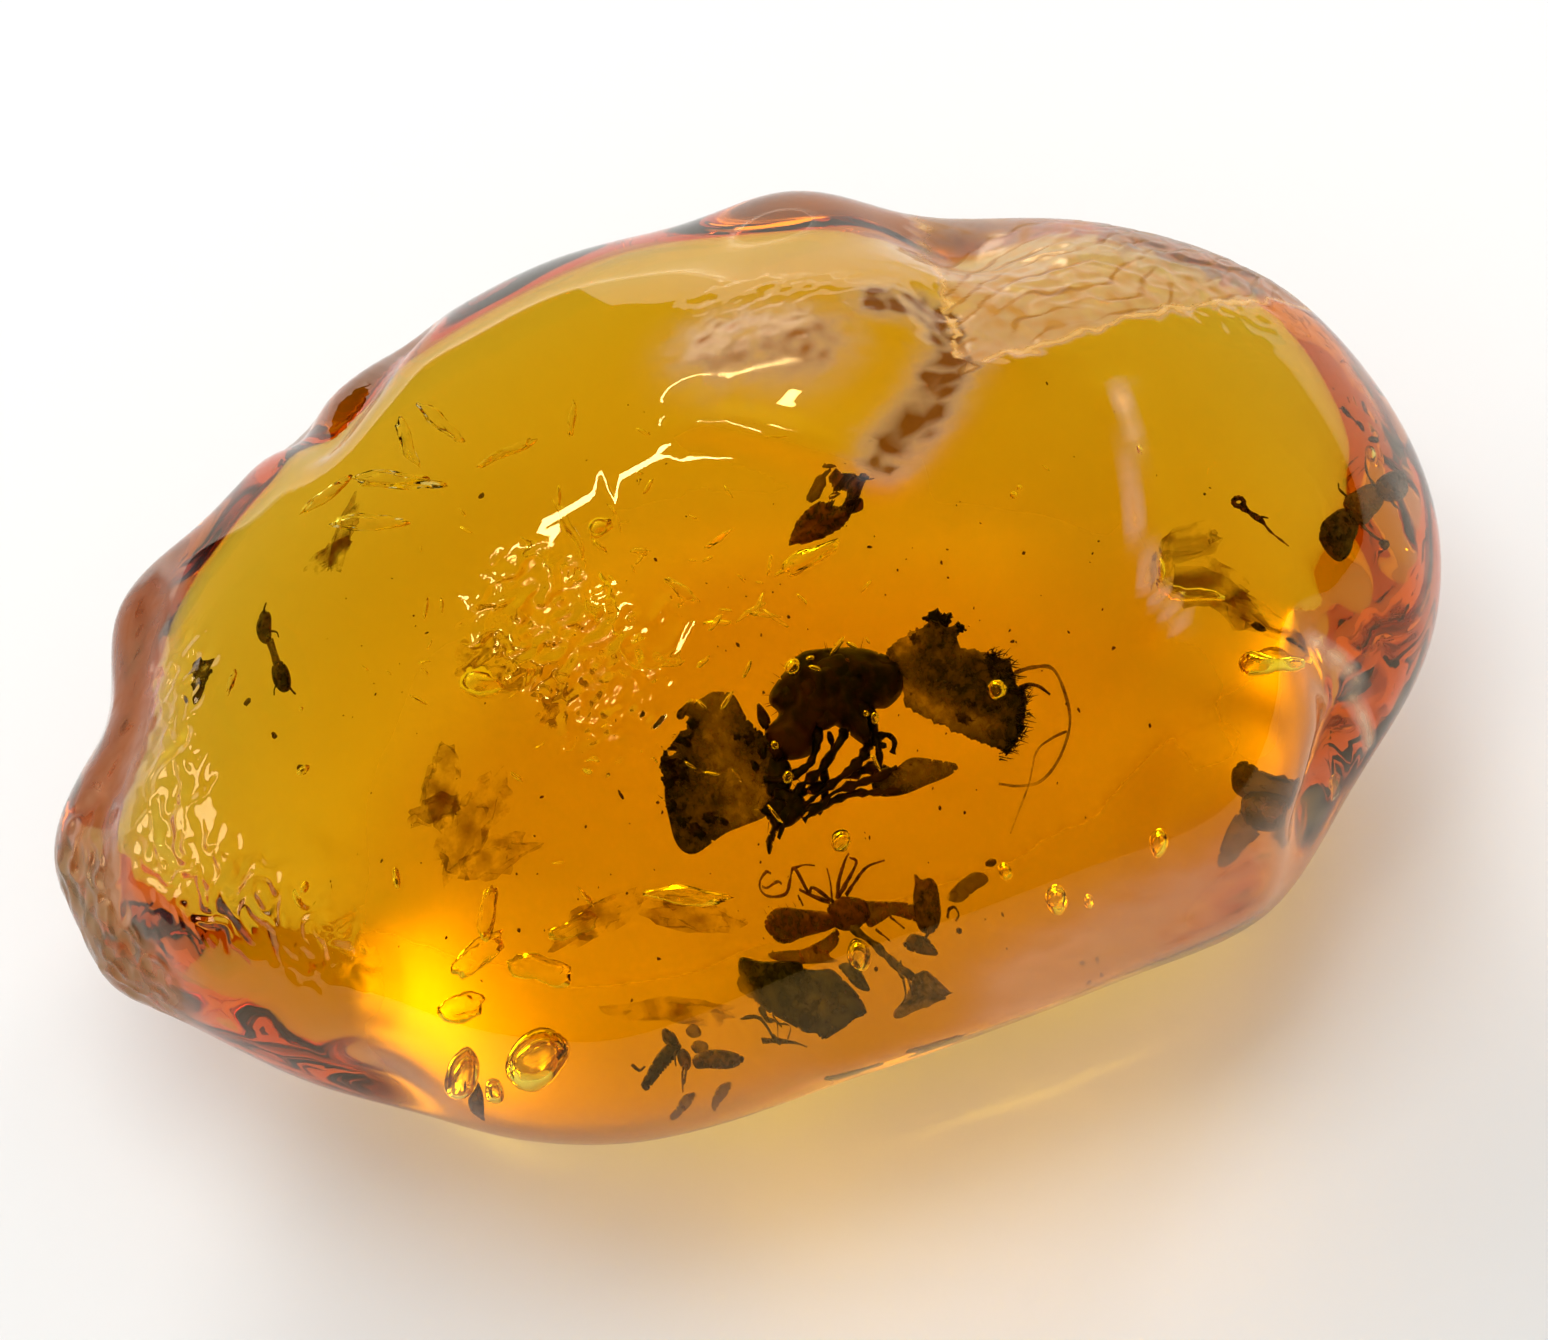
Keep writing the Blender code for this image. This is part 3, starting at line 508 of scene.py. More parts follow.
def shell(
    bm, outline, step, height, w=0.0, reach=None, ragged=0.0, creased=0.15, crease_size=0.3, seed=0.0,
    slope=(0.0, 0.0),
):
    """A rounded lump or a thin flake with this outline: two domed sheets joined along the rim."""
    part = bmesh.new()
    rim = np.array(curve_through(outline, closed=True, steps=4))
    low = rim.min(axis=0) - step
    span = rim.max(axis=0) + step - low
    across = int(span[0] / step) + 1
    up = int(span[1] / step) + 1
    bmesh.ops.create_grid(part, x_segments=across, y_segments=up, size=0.5)
    middle = low + span / 2
    bmesh.ops.scale(part, vec=(span[0], span[1], 1.0), verts=part.verts)
    bmesh.ops.translate(part, vec=(middle[0], middle[1], 0.0), verts=part.verts)
    inside = rim_distance(np.array([vert.co for vert in part.verts]), rim)[0]
    torn = [
        ragged * (0.5 + noise.noise(Vector((vert.co.x / TORN_GRAIN, vert.co.y / TORN_GRAIN, seed))))
        for vert in part.verts
    ]
    outer = [vert for vert, depth, tear in zip(part.verts, inside, torn) if depth < tear - 0.3 * step]
    bmesh.ops.delete(part, geom=outer, context="VERTS")
    loose = [vert for vert in part.verts if not vert.link_faces]
    bmesh.ops.delete(part, geom=loose, context="VERTS")
    inside, nearest = rim_distance(np.array([vert.co for vert in part.verts]), rim)
    reach = reach or height
    for vert, depth, place in zip(part.verts, inside, nearest):
        if vert.is_boundary:
            if abs(depth) < 0.9 * step:
                vert.co.x, vert.co.y = place
            continue
        flank = 1.0 - min(max(depth, 0.15 * step) / reach, 1.0)
        relief = 1.0 + creased * noise.noise(Vector((vert.co.x, vert.co.y, seed)) / crease_size)
        vert.co.z = height * math.sqrt(1.0 - flank**2) * relief
    if ragged:
        torn = [vert for vert in part.verts if vert.is_boundary]
        for _ in range(TORN_ROUNDS):
            bmesh.ops.smooth_vert(part, verts=torn, factor=0.5, use_axis_x=True, use_axis_y=True)
    copied = bmesh.ops.duplicate(part, geom=part.verts[:] + part.edges[:] + part.faces[:])
    under = [item for item in copied["geom"] if isinstance(item, bmesh.types.BMVert)]
    bmesh.ops.scale(part, vec=(1.0, 1.0, -FAR_SIDE), verts=under)
    under_faces = [item for item in copied["geom"] if isinstance(item, bmesh.types.BMFace)]
    bmesh.ops.reverse_faces(part, faces=under_faces)
    rim_verts = [vert for vert in part.verts if vert.is_boundary]
    bmesh.ops.remove_doubles(part, verts=rim_verts, dist=RIM_MERGE)
    for vert in part.verts:
        across = Vector((vert.co.x / BEND_GRAIN, vert.co.y / BEND_GRAIN, seed + 9.0))
        bend = 0.6 * step * noise.noise(across)
        vert.co.z += w + slope[0] * (vert.co.x - middle[0]) + slope[1] * (vert.co.y - middle[1]) + bend
    mesh = bpy.data.meshes.new("shell")
    part.to_mesh(mesh)
    part.free()
    bm.from_mesh(mesh)
    bpy.data.meshes.remove(mesh)


def lobe(bm, middle, half_sizes, turn=0.0, rough=0.12, subdivisions=3):
    """A rounded lump, slightly uneven."""
    made = bmesh.ops.create_icosphere(bm, subdivisions=subdivisions, radius=1.0)["verts"]
    for vert in made:
        vert.co *= 1.0 + rough * noise.noise(vert.co * 2.2 + Vector(middle))
    turned = Matrix.Rotation(math.radians(turn), 4, "Z")
    placed = Matrix.Translation(middle) @ turned @ Matrix.Diagonal((*half_sizes, 1.0))
    bmesh.ops.transform(bm, matrix=placed, verts=made)


def limb(bm, route, thick, thin, sides=6, uneven=0.15):
    """A leg, feeler or stalk, drawn out of a small circle ring by ring along its route."""
    curve = [Vector(point) for point in curve_through(route)]
    ring = bmesh.ops.create_circle(bm, cap_ends=True, segments=sides, radius=1.0)["verts"]
    face = ring[0].link_faces[0]
    heading = Vector((0, 0, 1))
    size = 1.0
    here = Vector((0, 0, 0))
    for i, place in enumerate(curve):
        ahead = (curve[min(i + 1, len(curve) - 1)] - curve[max(i - 1, 0)]).normalized()
        width = (thick + (thin - thick) * i / (len(curve) - 1)) / 2
        width *= 1.0 + 2 * uneven * noise.noise(place * 4.0)
        turned = heading.rotation_difference(ahead).to_matrix().to_4x4()
        if i:
            made = bmesh.ops.extrude_face_region(bm, geom=[face])["geom"]
            face = next(item for item in made if isinstance(item, bmesh.types.BMFace))
        resized = turned @ Matrix.Scale(width / size, 4)
        moved = Matrix.Translation(place) @ resized @ Matrix.Translation(-here)
        bmesh.ops.transform(bm, matrix=moved, verts=face.verts)
        heading = ahead
        size = width
        here = place


def bristle(bm, root, tip, thickness):
    """One stiff hair, a thin three-sided cone."""
    root = Vector(root)
    along = Vector(tip) - root
    turned = along.to_track_quat("Z", "Y").to_matrix().to_4x4()
    placed = Matrix.Translation(root + along / 2) @ turned
    bmesh.ops.create_cone(
        bm, cap_ends=True, segments=3, radius1=thickness, radius2=thickness * 0.2, depth=along.length,
        matrix=placed,
    )


def paint(bm, name, base, strokes=(), mottle=0.0, mottle_size=0.4):
    """Gives each point a value: the base, drawn towards each stroke's own value near that stroke."""
    layer = bm.verts.layers.float.get(name) or bm.verts.layers.float.new(name)
    points = np.array([vert.co for vert in bm.verts])
    values = np.full(len(points), float(base))
    for line, reach, value in strokes:
        line = [tuple(point) for point in line]
        if len(line) == 1:
            line = [line[0], (line[0][0] + 0.01, line[0][1])]
        values += closeness(points[:, :2], line, reach) * (value - values)
    for vert, value in zip(bm.verts, values):
        speckle = noise.noise(vert.co / mottle_size) + 0.5 * noise.noise(vert.co / mottle_size * FINE_GRAIN)
        vert[layer] = min(max(value + mottle * speckle, 0.0), 1.0)


def inclusion(bm, name, crust, node_names):
    """Takes a bmesh from mm in the layer of inclusions to its place in the nugget, as a finished piece."""
    bmesh.ops.recalc_face_normals(bm, faces=bm.faces)
    bmesh.ops.transform(bm, matrix=IN_LAYER, verts=bm.verts)
    piece_from(bm, name, crust, node_names)


def old_crust(name, dark, light, grain, roughness=0.55, see_through=False, depth=0.00003):
    """Brittle organic matter: two mottled tones and a grainy surface; thin parts let light through."""
    material, shader, links = new_material(name, {"Roughness": roughness, "Specular IOR Level": 0.12})
    place = add_node(material, "TexCoord", {})
    scale = 1.0 / (grain * MM)
    speckle = add_node(material, "TexNoise", {"Scale": scale, "Detail": 4.0, "Roughness": 0.65})
    shade = add_node(material, "Attribute", {}, attribute_name="shade")
    spread = {"From Min": 0.35, "From Max": 0.68, "To Min": -0.35, "To Max": 0.35}
    contrast = add_node(material, "MapRange", spread)
    total = add_node(material, "Math", {}, operation="ADD", use_clamp=True)
    tone = add_node(material, "Mix", {"A": (*dark, 1.0), "B": (*light, 1.0)}, data_type="RGBA")
    bump = add_node(material, "Bump", {"Strength": 0.7, "Distance": depth})
    links.new(place.outputs["Object"], speckle.inputs["Vector"])
    links.new(speckle.outputs["Fac"], contrast.inputs["Value"])
    links.new(shade.outputs["Fac"], total.inputs[0])
    links.new(contrast.outputs["Result"], total.inputs[1])
    links.new(total.outputs["Value"], tone.inputs["Factor"])
    links.new(tone.outputs["Result"], shader.inputs["Base Color"])
    links.new(speckle.outputs["Fac"], bump.inputs["Height"])
    links.new(bump.outputs["Normal"], shader.inputs["Normal"])
    if see_through:
        cover = add_node(material, "Attribute", {}, attribute_name="cover")
        thinned = add_node(material, "Math", {1: 0.5}, operation="MULTIPLY_ADD", use_clamp=True)
        links.new(contrast.outputs["Result"], thinned.inputs[0])
        links.new(cover.outputs["Fac"], thinned.inputs[2])
        links.new(thinned.outputs["Value"], shader.inputs["Alpha"])
    return material


BODY_OUTLINE = (
    (0.83, -2.01), (1.42, -1.62), (2.08, -1.26), (2.76, -1.31), (3.71, -1.52), (4.36, -1.85),
    (4.72, -2.24), (4.59, -2.87), (4.07, -3.17), (3.68, -3.12), (3.48, -3.3), (3.42, -3.75),
    (3.19, -3.97), (2.92, -3.75), (2.68, -3.48), (2.27, -3.17), (1.87, -3.3), (1.6, -3.66), (1.31, -3.82),
    (0.62, -3.74), (0.32, -3.31), (0.29, -2.94), (0.87, -2.63), (0.7, -2.3),
)
body = bmesh.new()
shell(body, BODY_OUTLINE, 0.07, 0.85, w=0.1, reach=0.9, creased=0.35, crease_size=0.45, seed=1.0)
lobe(body, (2.9, -2.25, 0.35), (1.2, 0.72, 0.65), -12, 0.25, 4)
lobe(body, (1.45, -2.35, 0.3), (0.55, 0.5, 0.55), 10, 0.3, 3)
lobe(body, (4.05, -2.35, 0.3), (0.52, 0.5, 0.5), 0, 0.3, 3)
lobe(body, (1.98, -2.29, 0.72), (0.34, 0.31, 0.26), 0, 0.05, 3)
lobe(body, (2.35, -3.02, 0.25), (0.55, 0.28, 0.4), 10, 0.3, 3)
lobe(body, (3.25, -3.05, 0.3), (0.45, 0.3, 0.4), -20, 0.3, 3)
for middle, size in (((1.05, -3.3, 0.25), 0.42), ((0.52, -3.45, 0.15), 0.3), ((1.5, -3.35, 0.1), 0.25)):
    lobe(body, middle, (size, size * 0.8, size), 30, 0.3, 3)
chance = random.Random(3)
BODY_BRISTLES = 46
for number in range(BODY_BRISTLES):
    along = chance.random() * math.tau
    root = Vector((2.7 + 1.95 * math.cos(along), -2.3 + 0.82 * math.sin(along), chance.uniform(0.2, 0.6)))
    out = Vector((math.cos(along), math.sin(along), 0.5)) * chance.uniform(0.12, 0.3)
    bristle(body, root, root + out, 0.012)
paint(body, "shade", 0.25, [
    (((0.45, -3.3), (1.0, -3.5), (1.5, -3.45)), 0.35, 1.0), (((2.0, -2.3),), 0.3, 0.75),
    (((2.1, -3.1), (1.8, -2.9)), 0.3, 0.7),
], 0.2)
body_crust = old_crust("charred_crust", (0.003, 0.0015, 0.001), (0.04, 0.011, 0.004), 0.35, 0.38)
inclusion(body, "main_insect_body", body_crust, ("winged_insect",))

tangle = bmesh.new()
LEGS = (
    ((3.5, -3.3, 0.2), (3.48, -3.85, 0.3), (3.4, -4.35, 0.3), (3.3, -4.62, 0.2)),
    ((2.6, -3.45, 0.2), (2.5, -3.65, 0.3), (1.55, -4.3, 0.4), (0.65, -4.65, 0.3), (-0.35, -5.6, 0.2)),
    ((3.25, -3.85, 0.1), (2.95, -4.2, 0.3), (2.35, -4.5, 0.4), (1.35, -4.8, 0.3), (0.7, -5.0, 0.2)),
    ((3.35, -4.5, 0.2), (2.6, -4.5, 0.1), (1.95, -4.55, 0.1), (1.0, -4.6, 0.0), (0.3, -4.5, 0.0)),
    ((3.8, -4.65, 0.2), (3.0, -4.8, 0.3), (1.8, -4.9, 0.4), (1.25, -5.1, 0.3), (0.5, -5.1, 0.2)),
    ((3.7, -5.2, 0.1), (2.9, -5.1, 0.2), (2.3, -5.0, 0.2), (1.25, -5.1, 0.2), (0.6, -5.3, 0.1)),
    ((3.7, -4.1, 0.3), (3.4, -4.0, 0.3), (3.45, -3.85, 0.3), (3.8, -3.85, 0.3), (3.95, -4.05, 0.3),
     (3.8, -4.3, 0.2)),
    ((1.95, -3.25, 0.3), (1.6, -3.8, 0.4), (1.25, -4.1, 0.4), (0.45, -4.25, 0.3), (-0.2, -4.1, 0.2)),
    ((2.2, -3.35, 0.0), (2.1, -3.9, 0.1), (1.7, -4.2, 0.1), (1.55, -4.75, 0.0), (1.1, -5.2, 0.0)),
)
for number, route in enumerate(LEGS):
    limb(tangle, route, (0.34, 0.3, 0.27, 0.24, 0.24, 0.18, 0.18, 0.26, 0.22)[number], 0.15, 7, 0.6)
for outline, height, w in (
    (((0.0, -4.35), (0.72, -4.6), (0.85, -5.0), (0.67, -5.18), (0.2, -5.35), (-0.3, -5.4), (-0.81, -5.92),
      (-0.76, -5.54), (-0.44, -5.24), (-0.52, -4.95), (-0.2, -4.75)), 0.22, 0.1),
    (((0.34, -2.21), (0.5, -2.45), (0.56, -2.75), (0.34, -2.98), (0.18, -2.72), (0.22, -2.45)), 0.1, 0.2),
    (((-0.62, -4.82), (-0.1, -4.62), (0.3, -4.85), (-0.05, -5.05), (-0.5, -5.0)), 0.14, 0.3),
    (((0.95, -4.62), (1.35, -4.42), (1.62, -4.62), (1.3, -4.8)), 0.12, 0.1),
    (((0.1, -3.6), (0.62, -3.66), (0.75, -4.0), (0.55, -4.4), (0.2, -4.55), (-0.25, -4.45), (-0.1, -4.0)),
     0.16, 0.0),
):
    shell(tangle, outline, 0.045, height, w=w, creased=0.5, crease_size=0.2, seed=2.0 + w)
LEG_BRISTLES = 34
for number in range(LEG_BRISTLES):
    root = Vector((chance.uniform(-0.5, 3.4), chance.uniform(-5.2, -4.1), chance.uniform(0.1, 0.4)))
    out = Vector((chance.uniform(-0.2, 0.2), chance.uniform(-0.3, 0.1), 0.05))
    bristle(tangle, root, root + out, 0.014)
paint(tangle, "shade", 0.1, [(((2.6, -4.9), (3.6, -5.1)), 0.4, 0.9), (((0.35, -2.5),), 0.3, 0.6)], 0.2)
inclusion(tangle, "main_insect_legs", body_crust, ("winged_insect",))

wings = bmesh.new()
LEFT_WING = (
    (-1.04, -1.59), (-0.62, -1.66), (-0.31, -1.83), (-0.14, -2.48), (0.2, -2.92), (0.6, -3.25),
    (0.35, -3.95), (0.05, -4.3), (-0.15, -4.65), (-0.54, -4.94), (-1.2, -5.02), (-1.91, -5.11),
    (-2.6, -5.32), (-3.0, -5.42), (-3.3, -5.3), (-3.43, -4.94), (-3.38, -4.4), (-3.31, -3.88),
    (-3.12, -3.45), (-2.95, -3.14), (-2.6, -2.8), (-2.26, -2.46), (-1.9, -2.15), (-1.57, -1.78),
)
RIGHT_WING = (
    (4.36, -1.85), (5.02, -1.54), (5.25, -1.42), (5.53, -1.46), (5.85, -1.28), (6.21, -1.54),
    (6.5, -1.62), (6.69, -1.76), (6.47, -2.21), (6.9, -2.42), (7.33, -2.68), (7.67, -3.07), (7.67, -3.57),
    (7.83, -3.83), (7.63, -4.47), (7.34, -4.88), (6.93, -5.18), (6.42, -4.83), (5.77, -4.39),
    (5.07, -3.85), (4.5, -3.35), (4.56, -2.71),
)
BLADE = (
    (3.05, -4.45), (3.25, -4.33), (3.7, -4.62), (4.1, -4.52), (4.4, -4.52), (4.95, -4.72), (5.42, -4.92),
    (5.5, -5.05), (5.15, -5.18), (4.43, -5.24), (3.64, -5.3), (2.95, -5.1),
)
shell(wings, LEFT_WING, 0.08, 0.07, reach=0.4, creased=0.6, crease_size=0.35, seed=4.0,
    slope=(0.02, 0.03))
shell(wings, RIGHT_WING, 0.08, 0.07, w=0.15, reach=0.4, ragged=0.07, creased=0.7, crease_size=0.3,
    seed=5.0)
shell(wings, BLADE, 0.06, 0.1, w=0.1, reach=0.3, creased=0.4, crease_size=0.5, seed=6.0,
    slope=(0.03, 0.0))
CLEAR_BAND = ((-0.8, -1.85), (-1.05, -2.4), (-1.25, -3.0), (-1.3, -3.6), (-1.04, -4.34), (-1.45, -4.85))
paint(wings, "cover", 0.95, [
    (CLEAR_BAND, 0.4, 0.66), (((-0.6, -4.0), (-0.5, -4.6)), 0.35, 0.62),
    (((5.05, -1.8), (5.25, -1.62)), 0.26, 0.45), (((4.75, -3.0), (5.25, -3.55), (5.7, -4.0)), 0.28, 0.5),
    (((6.85, -2.3), (7.05, -2.55)), 0.2, 0.45), (((6.1, -4.2), (6.6, -4.3)), 0.22, 0.65),
    (((4.1, -4.85), (5.3, -5.0)), 0.3, 0.72), (((6.4, -2.35),), 0.15, 0.6),
], 0.14, 0.35)
paint(wings, "shade", 0.15, [
    (CLEAR_BAND, 0.55, 1.0), (((-0.55, -3.9), (-0.5, -4.6)), 0.4, 0.9),
    (((-2.3, -4.4), (-2.8, -4.9)), 0.4, 0.5),
    (((4.8, -2.0), (5.3, -1.8)), 0.3, 0.9), (((4.8, -3.1), (5.4, -3.7)), 0.35, 1.0),
    (((4.1, -4.85), (5.3, -5.0)), 0.5, 1.0),
    (((5.5, -2.4), (6.3, -2.5)), 0.3, 0.5), (((6.5, -4.3),), 0.3, 0.7),
], 0.3, 0.3)
wing_skin = old_crust("smoky_wing", (0.011, 0.008, 0.005), (0.135, 0.075, 0.022), 0.22, 0.6, True,
    0.00002)
inclusion(wings, "main_insect_wings", wing_skin, ("winged_insect",))

scales = bmesh.new()
OUTER_EDGE = ((7.2, -2.6), (7.6, -3.0), (7.67, -3.57), (7.8, -3.9), (7.6, -4.47), (7.3, -4.9),
    (6.9, -5.15))
for place in curve_through(OUTER_EDGE, steps=24):
    root = Vector((place[0] + chance.uniform(-0.35, 0.02), place[1] + chance.uniform(-0.05, 0.05), 0.2))
    out = Vector((chance.uniform(0.1, 0.3), chance.uniform(-0.22, 0.16), chance.uniform(-0.05, 0.1)))
    bristle(scales, root, root + out, chance.uniform(0.016, 0.03))
TUFTS = (
    (5.95, -1.36, 0.26), (6.25, -1.5, 0.2), (6.05, -1.65, 0.22), (6.55, -1.8, 0.16), (5.35, -1.75, 0.18),
    (5.55, -2.05, 0.2), (5.9, -2.1, 0.24), (7.05, -2.85, 0.22), (7.3, -3.25, 0.2), (6.75, -2.85, 0.22),
    (6.35, -3.05, 0.25), (5.95, -3.1, 0.28), (5.45, -2.8, 0.24), (6.3, -3.55, 0.24), (6.85, -3.95, 0.2),
    (7.2, -4.3, 0.22), (7.05, -4.75, 0.2), (6.6, -4.5, 0.18), (6.0, -3.95, 0.22), (5.3, -2.45, 0.16),
    (-3.0, -3.55, 0.3), (-2.75, -3.1, 0.24), (-2.55, -3.45, 0.22), (-2.2, -2.75, 0.24),
    (-1.75, -2.25, 0.2), (-1.95, -2.6, 0.16), (-3.2, -4.15, 0.22), (-3.05, -4.6, 0.2),
    (-2.7, -4.95, 0.26), (-2.2, -4.7, 0.2), (-0.25, -3.0, 0.22), (0.05, -3.35, 0.24), (-0.35, -3.7, 0.18),
    (-1.85, -4.85, 0.16), (-0.6, -2.9, 0.14),
)
for number, (u, v, size) in enumerate(TUFTS):
    lobe(scales, (u, v, 0.1), (size * 0.75, size * 0.5, 0.035), 37 * number, 1.3, 3)
TUFT_BRISTLES = 120
for number in range(TUFT_BRISTLES):
    u, v, size = TUFTS[number % len(TUFTS)]
    root = Vector((u + chance.uniform(-size, size), v + chance.uniform(-size, size), 0.18))
    out = Vector((chance.uniform(-0.12, 0.16), chance.uniform(-0.14, 0.1), 0.06))
    bristle(scales, root, root + out, 0.016)
paint(scales, "shade", 0.15, (), 0.35, 0.25)
inclusion(scales, "main_insect_scales", body_crust, ("winged_insect",))

feelers = bmesh.new()
limb(feelers, (
    (7.6, -3.31, 0.2), (8.1, -3.32, 0.2), (8.63, -3.5, 0.2), (8.79, -4.16, 0.1), (8.72, -4.88, 0.1),
    (8.25, -5.48, 0.0), (7.57, -5.88, 0.0), (6.95, -5.84, 0.0), (6.45, -5.66, 0.0),
), 0.1, 0.06)
limb(feelers, ((8.58, -5.0, 0.0), (8.1, -5.05, 0.0), (7.63, -5.23, 0.0), (7.2, -5.9, 0.0),
    (6.36, -6.83, 0.0)), 0.07, 0.04)
limb(feelers, ((7.63, -3.7, 0.2), (7.9, -3.72, 0.3), (8.15, -3.84, 0.3), (8.39, -4.12, 0.3)), 0.12, 0.07)
paint(feelers, "shade", 0.6, [(((7.7, -3.75), (8.4, -4.1)), 0.15, 0.0)], 0.2)
paint(feelers, "cover", 0.55, [(((7.7, -3.75), (8.4, -4.1)), 0.15, 1.0), (((7.3, -5.7), (6.4, -6.8)), 0.4,
    0.25)], 0.15)
faded_crust = old_crust("faded_crust", (0.035, 0.013, 0.006), (0.16, 0.055, 0.014), 0.3, 0.5, True)
inclusion(feelers, "main_insect_feelers", faded_crust, ("winged_insect",))

# Long-legged gnat
# A gnat below the main insect, 4 mm long. It is clear red-brown chitin: a narrow abdomen, a humped
# thorax, two folded wings and thin legs curled over its back.
gnat = bmesh.new()
for outline, height, w, seed in (
    (((-1.66, -7.32), (-1.25, -7.11), (-0.8, -7.13), (-0.37, -7.24), (0.52, -7.48), (0.53, -7.79),
     (-0.5, -7.83), (-1.3, -7.86), (-1.63, -7.59)), 0.26, 0.0, 1.0),
    (((0.45, -7.4), (0.75, -7.28), (1.13, -7.24), (1.64, -7.42), (1.7, -7.62), (1.62, -7.83),
     (1.06, -7.98), (0.53, -7.82)), 0.34, 0.05, 2.0),
    (((1.52, -7.45), (2.0, -7.5), (2.44, -7.6), (2.8, -7.68), (3.16, -7.86), (3.05, -8.14), (2.7, -8.02),
      (2.31, -7.88), (1.9, -7.95), (1.5, -7.95)), 0.1, 0.0, 3.0),
    (((0.6, -7.8), (0.1, -7.92), (-0.62, -8.03), (-1.3, -7.98), (-1.96, -7.96), (-1.61, -8.17),
     (-1.2, -8.28), (-0.76, -8.36), (0.29, -8.45), (0.05, -8.28), (0.45, -8.1)), 0.06, -0.1, 4.0),
):
    shell(gnat, outline, 0.05, height, w=w, reach=max(height, 0.15), creased=0.45, crease_size=0.22,
        seed=seed)
for route, thick, thin in (
    (((0.72, -7.35, 0.2), (0.25, -6.95, 0.3), (0.05, -7.01, 0.3), (-0.15, -6.43, 0.4), (-0.42, -6.7, 0.4),
     (-0.7, -6.93, 0.3), (-1.22, -6.87, 0.2), (-1.44, -6.7, 0.2), (-1.38, -6.48, 0.2), (-1.1, -6.3, 0.2),
       (-0.95, -6.36, 0.2)), 0.11, 0.06),
    (((-1.36, -6.6, 0.2), (-1.22, -6.66, 0.2), (-0.84, -6.58, 0.2), (-0.72, -6.66, 0.2)), 0.07, 0.05),
    (((-0.15, -6.43, 0.4), (0.2, -6.42, 0.4), (0.51, -6.5, 0.4)), 0.06, 0.04),
    (((0.6, -7.33, 0.2), (0.15, -7.1, 0.2), (-0.21, -6.91, 0.3)), 0.13, 0.08),
    (((-0.25, -7.22, 0.1), (-0.3, -7.0, 0.2), (-0.31, -7.11, 0.2)), 0.05, 0.04),
    (((0.69, -7.29, 0.2), (0.8, -6.95, 0.3), (0.84, -6.6, 0.3)), 0.07, 0.05),
    (((0.87, -7.3, 0.2), (1.0, -7.05, 0.3), (1.14, -6.86, 0.3), (1.45, -6.55, 0.4), (1.62, -6.42, 0.4)),
     0.12, 0.06),
    (((0.94, -7.23, 0.2), (1.21, -7.08, 0.3), (1.75, -6.68, 0.4), (1.6, -6.52, 0.4)), 0.11, 0.06),
    (((1.14, -7.27, 0.2), (1.55, -7.05, 0.3), (1.88, -6.86, 0.3), (2.15, -6.78, 0.3), (2.6, -6.76, 0.3)),
     0.1, 0.04),
    (((2.24, -7.92, 0.1), (2.4, -8.08, 0.1), (2.56, -8.24, 0.1)), 0.07, 0.05),
    (((1.7, -8.1, 0.1), (1.86, -8.24, 0.1), (2.02, -8.4, 0.1)), 0.06, 0.04),
):
    limb(gnat, route, thick, thin, 6, 0.3)
for number in range(6):
    bristle(gnat, (-1.5 + 0.25 * number, -7.2, 0.1), (-1.55 + 0.25 * number, -7.08, 0.15), 0.012)
paint(gnat, "shade", 0.55, [
    (((-1.3, -7.5), (-0.5, -7.5)), 0.28, 0.0), (((0.8, -7.6), (1.4, -7.6)), 0.3, 0.35),
    (((-1.4, -6.9), (-1.0, -6.5)), 0.4, 0.9),
    (((-0.6, -8.1), (0.2, -8.3)), 0.3, 0.8),
], 0.25, 0.2)
paint(gnat, "cover", 0.95, [
    (((1.8, -7.7), (3.0, -7.95)), 0.25, 0.75), (((-1.9, -8.0), (-0.6, -8.2), (0.2, -8.3)), 0.25, 0.62),
    (((-1.4, -6.9), (-1.0, -6.4)), 0.35, 0.7),
], 0.12, 0.2)
gnat_crust = old_crust("red_brown_chitin", (0.05, 0.02, 0.012), (0.2, 0.06, 0.016), 0.2, 0.45, True)
inclusion(gnat, "gnat", gnat_crust, ("long_legged_gnat",))

# Stalked bud
# A dried bud on its bent stalk, torn off a plant. It is woody, ribbed lengthwise, grey-brown, with a
# purple-brown flank and a frayed pale foot where the resin soaked in.
bud = bmesh.new()
shell(bud, (
    (2.22, -9.45), (2.37, -9.25), (2.8, -9.2), (3.05, -9.45), (3.22, -9.8), (3.28, -10.03),
    (3.12, -10.16), (3.16, -10.26), (2.8, -10.26), (2.66, -10.33), (2.55, -10.4), (2.3, -10.36),
    (2.0, -10.42), (1.8, -10.5), (1.48, -10.5), (1.42, -10.33), (1.5, -10.15), (1.67, -10.0),
    (1.98, -9.7),
), 0.05, 0.36, reach=0.55, creased=0.5, crease_size=0.3, seed=7.0)
limb(bud, (
    (1.0, -7.92, 0.1), (1.29, -8.17, 0.1), (1.6, -8.48, 0.1), (1.94, -8.9, 0.1), (2.15, -9.1, 0.1),
    (2.38, -9.3, 0.1),
), 0.2, 0.26, 8, 0.3)
limb(bud, ((2.06, -9.0, 0.1), (2.0, -9.16, 0.15), (2.08, -9.28, 0.1)), 0.12, 0.08)
limb(bud, ((2.1, -9.02, 0.2), (2.16, -8.92, 0.25)), 0.1, 0.03)
limb(bud, ((3.1, -10.16, 0.1), (3.3, -10.12, 0.1), (3.38, -10.14, 0.1)), 0.09, 0.02)
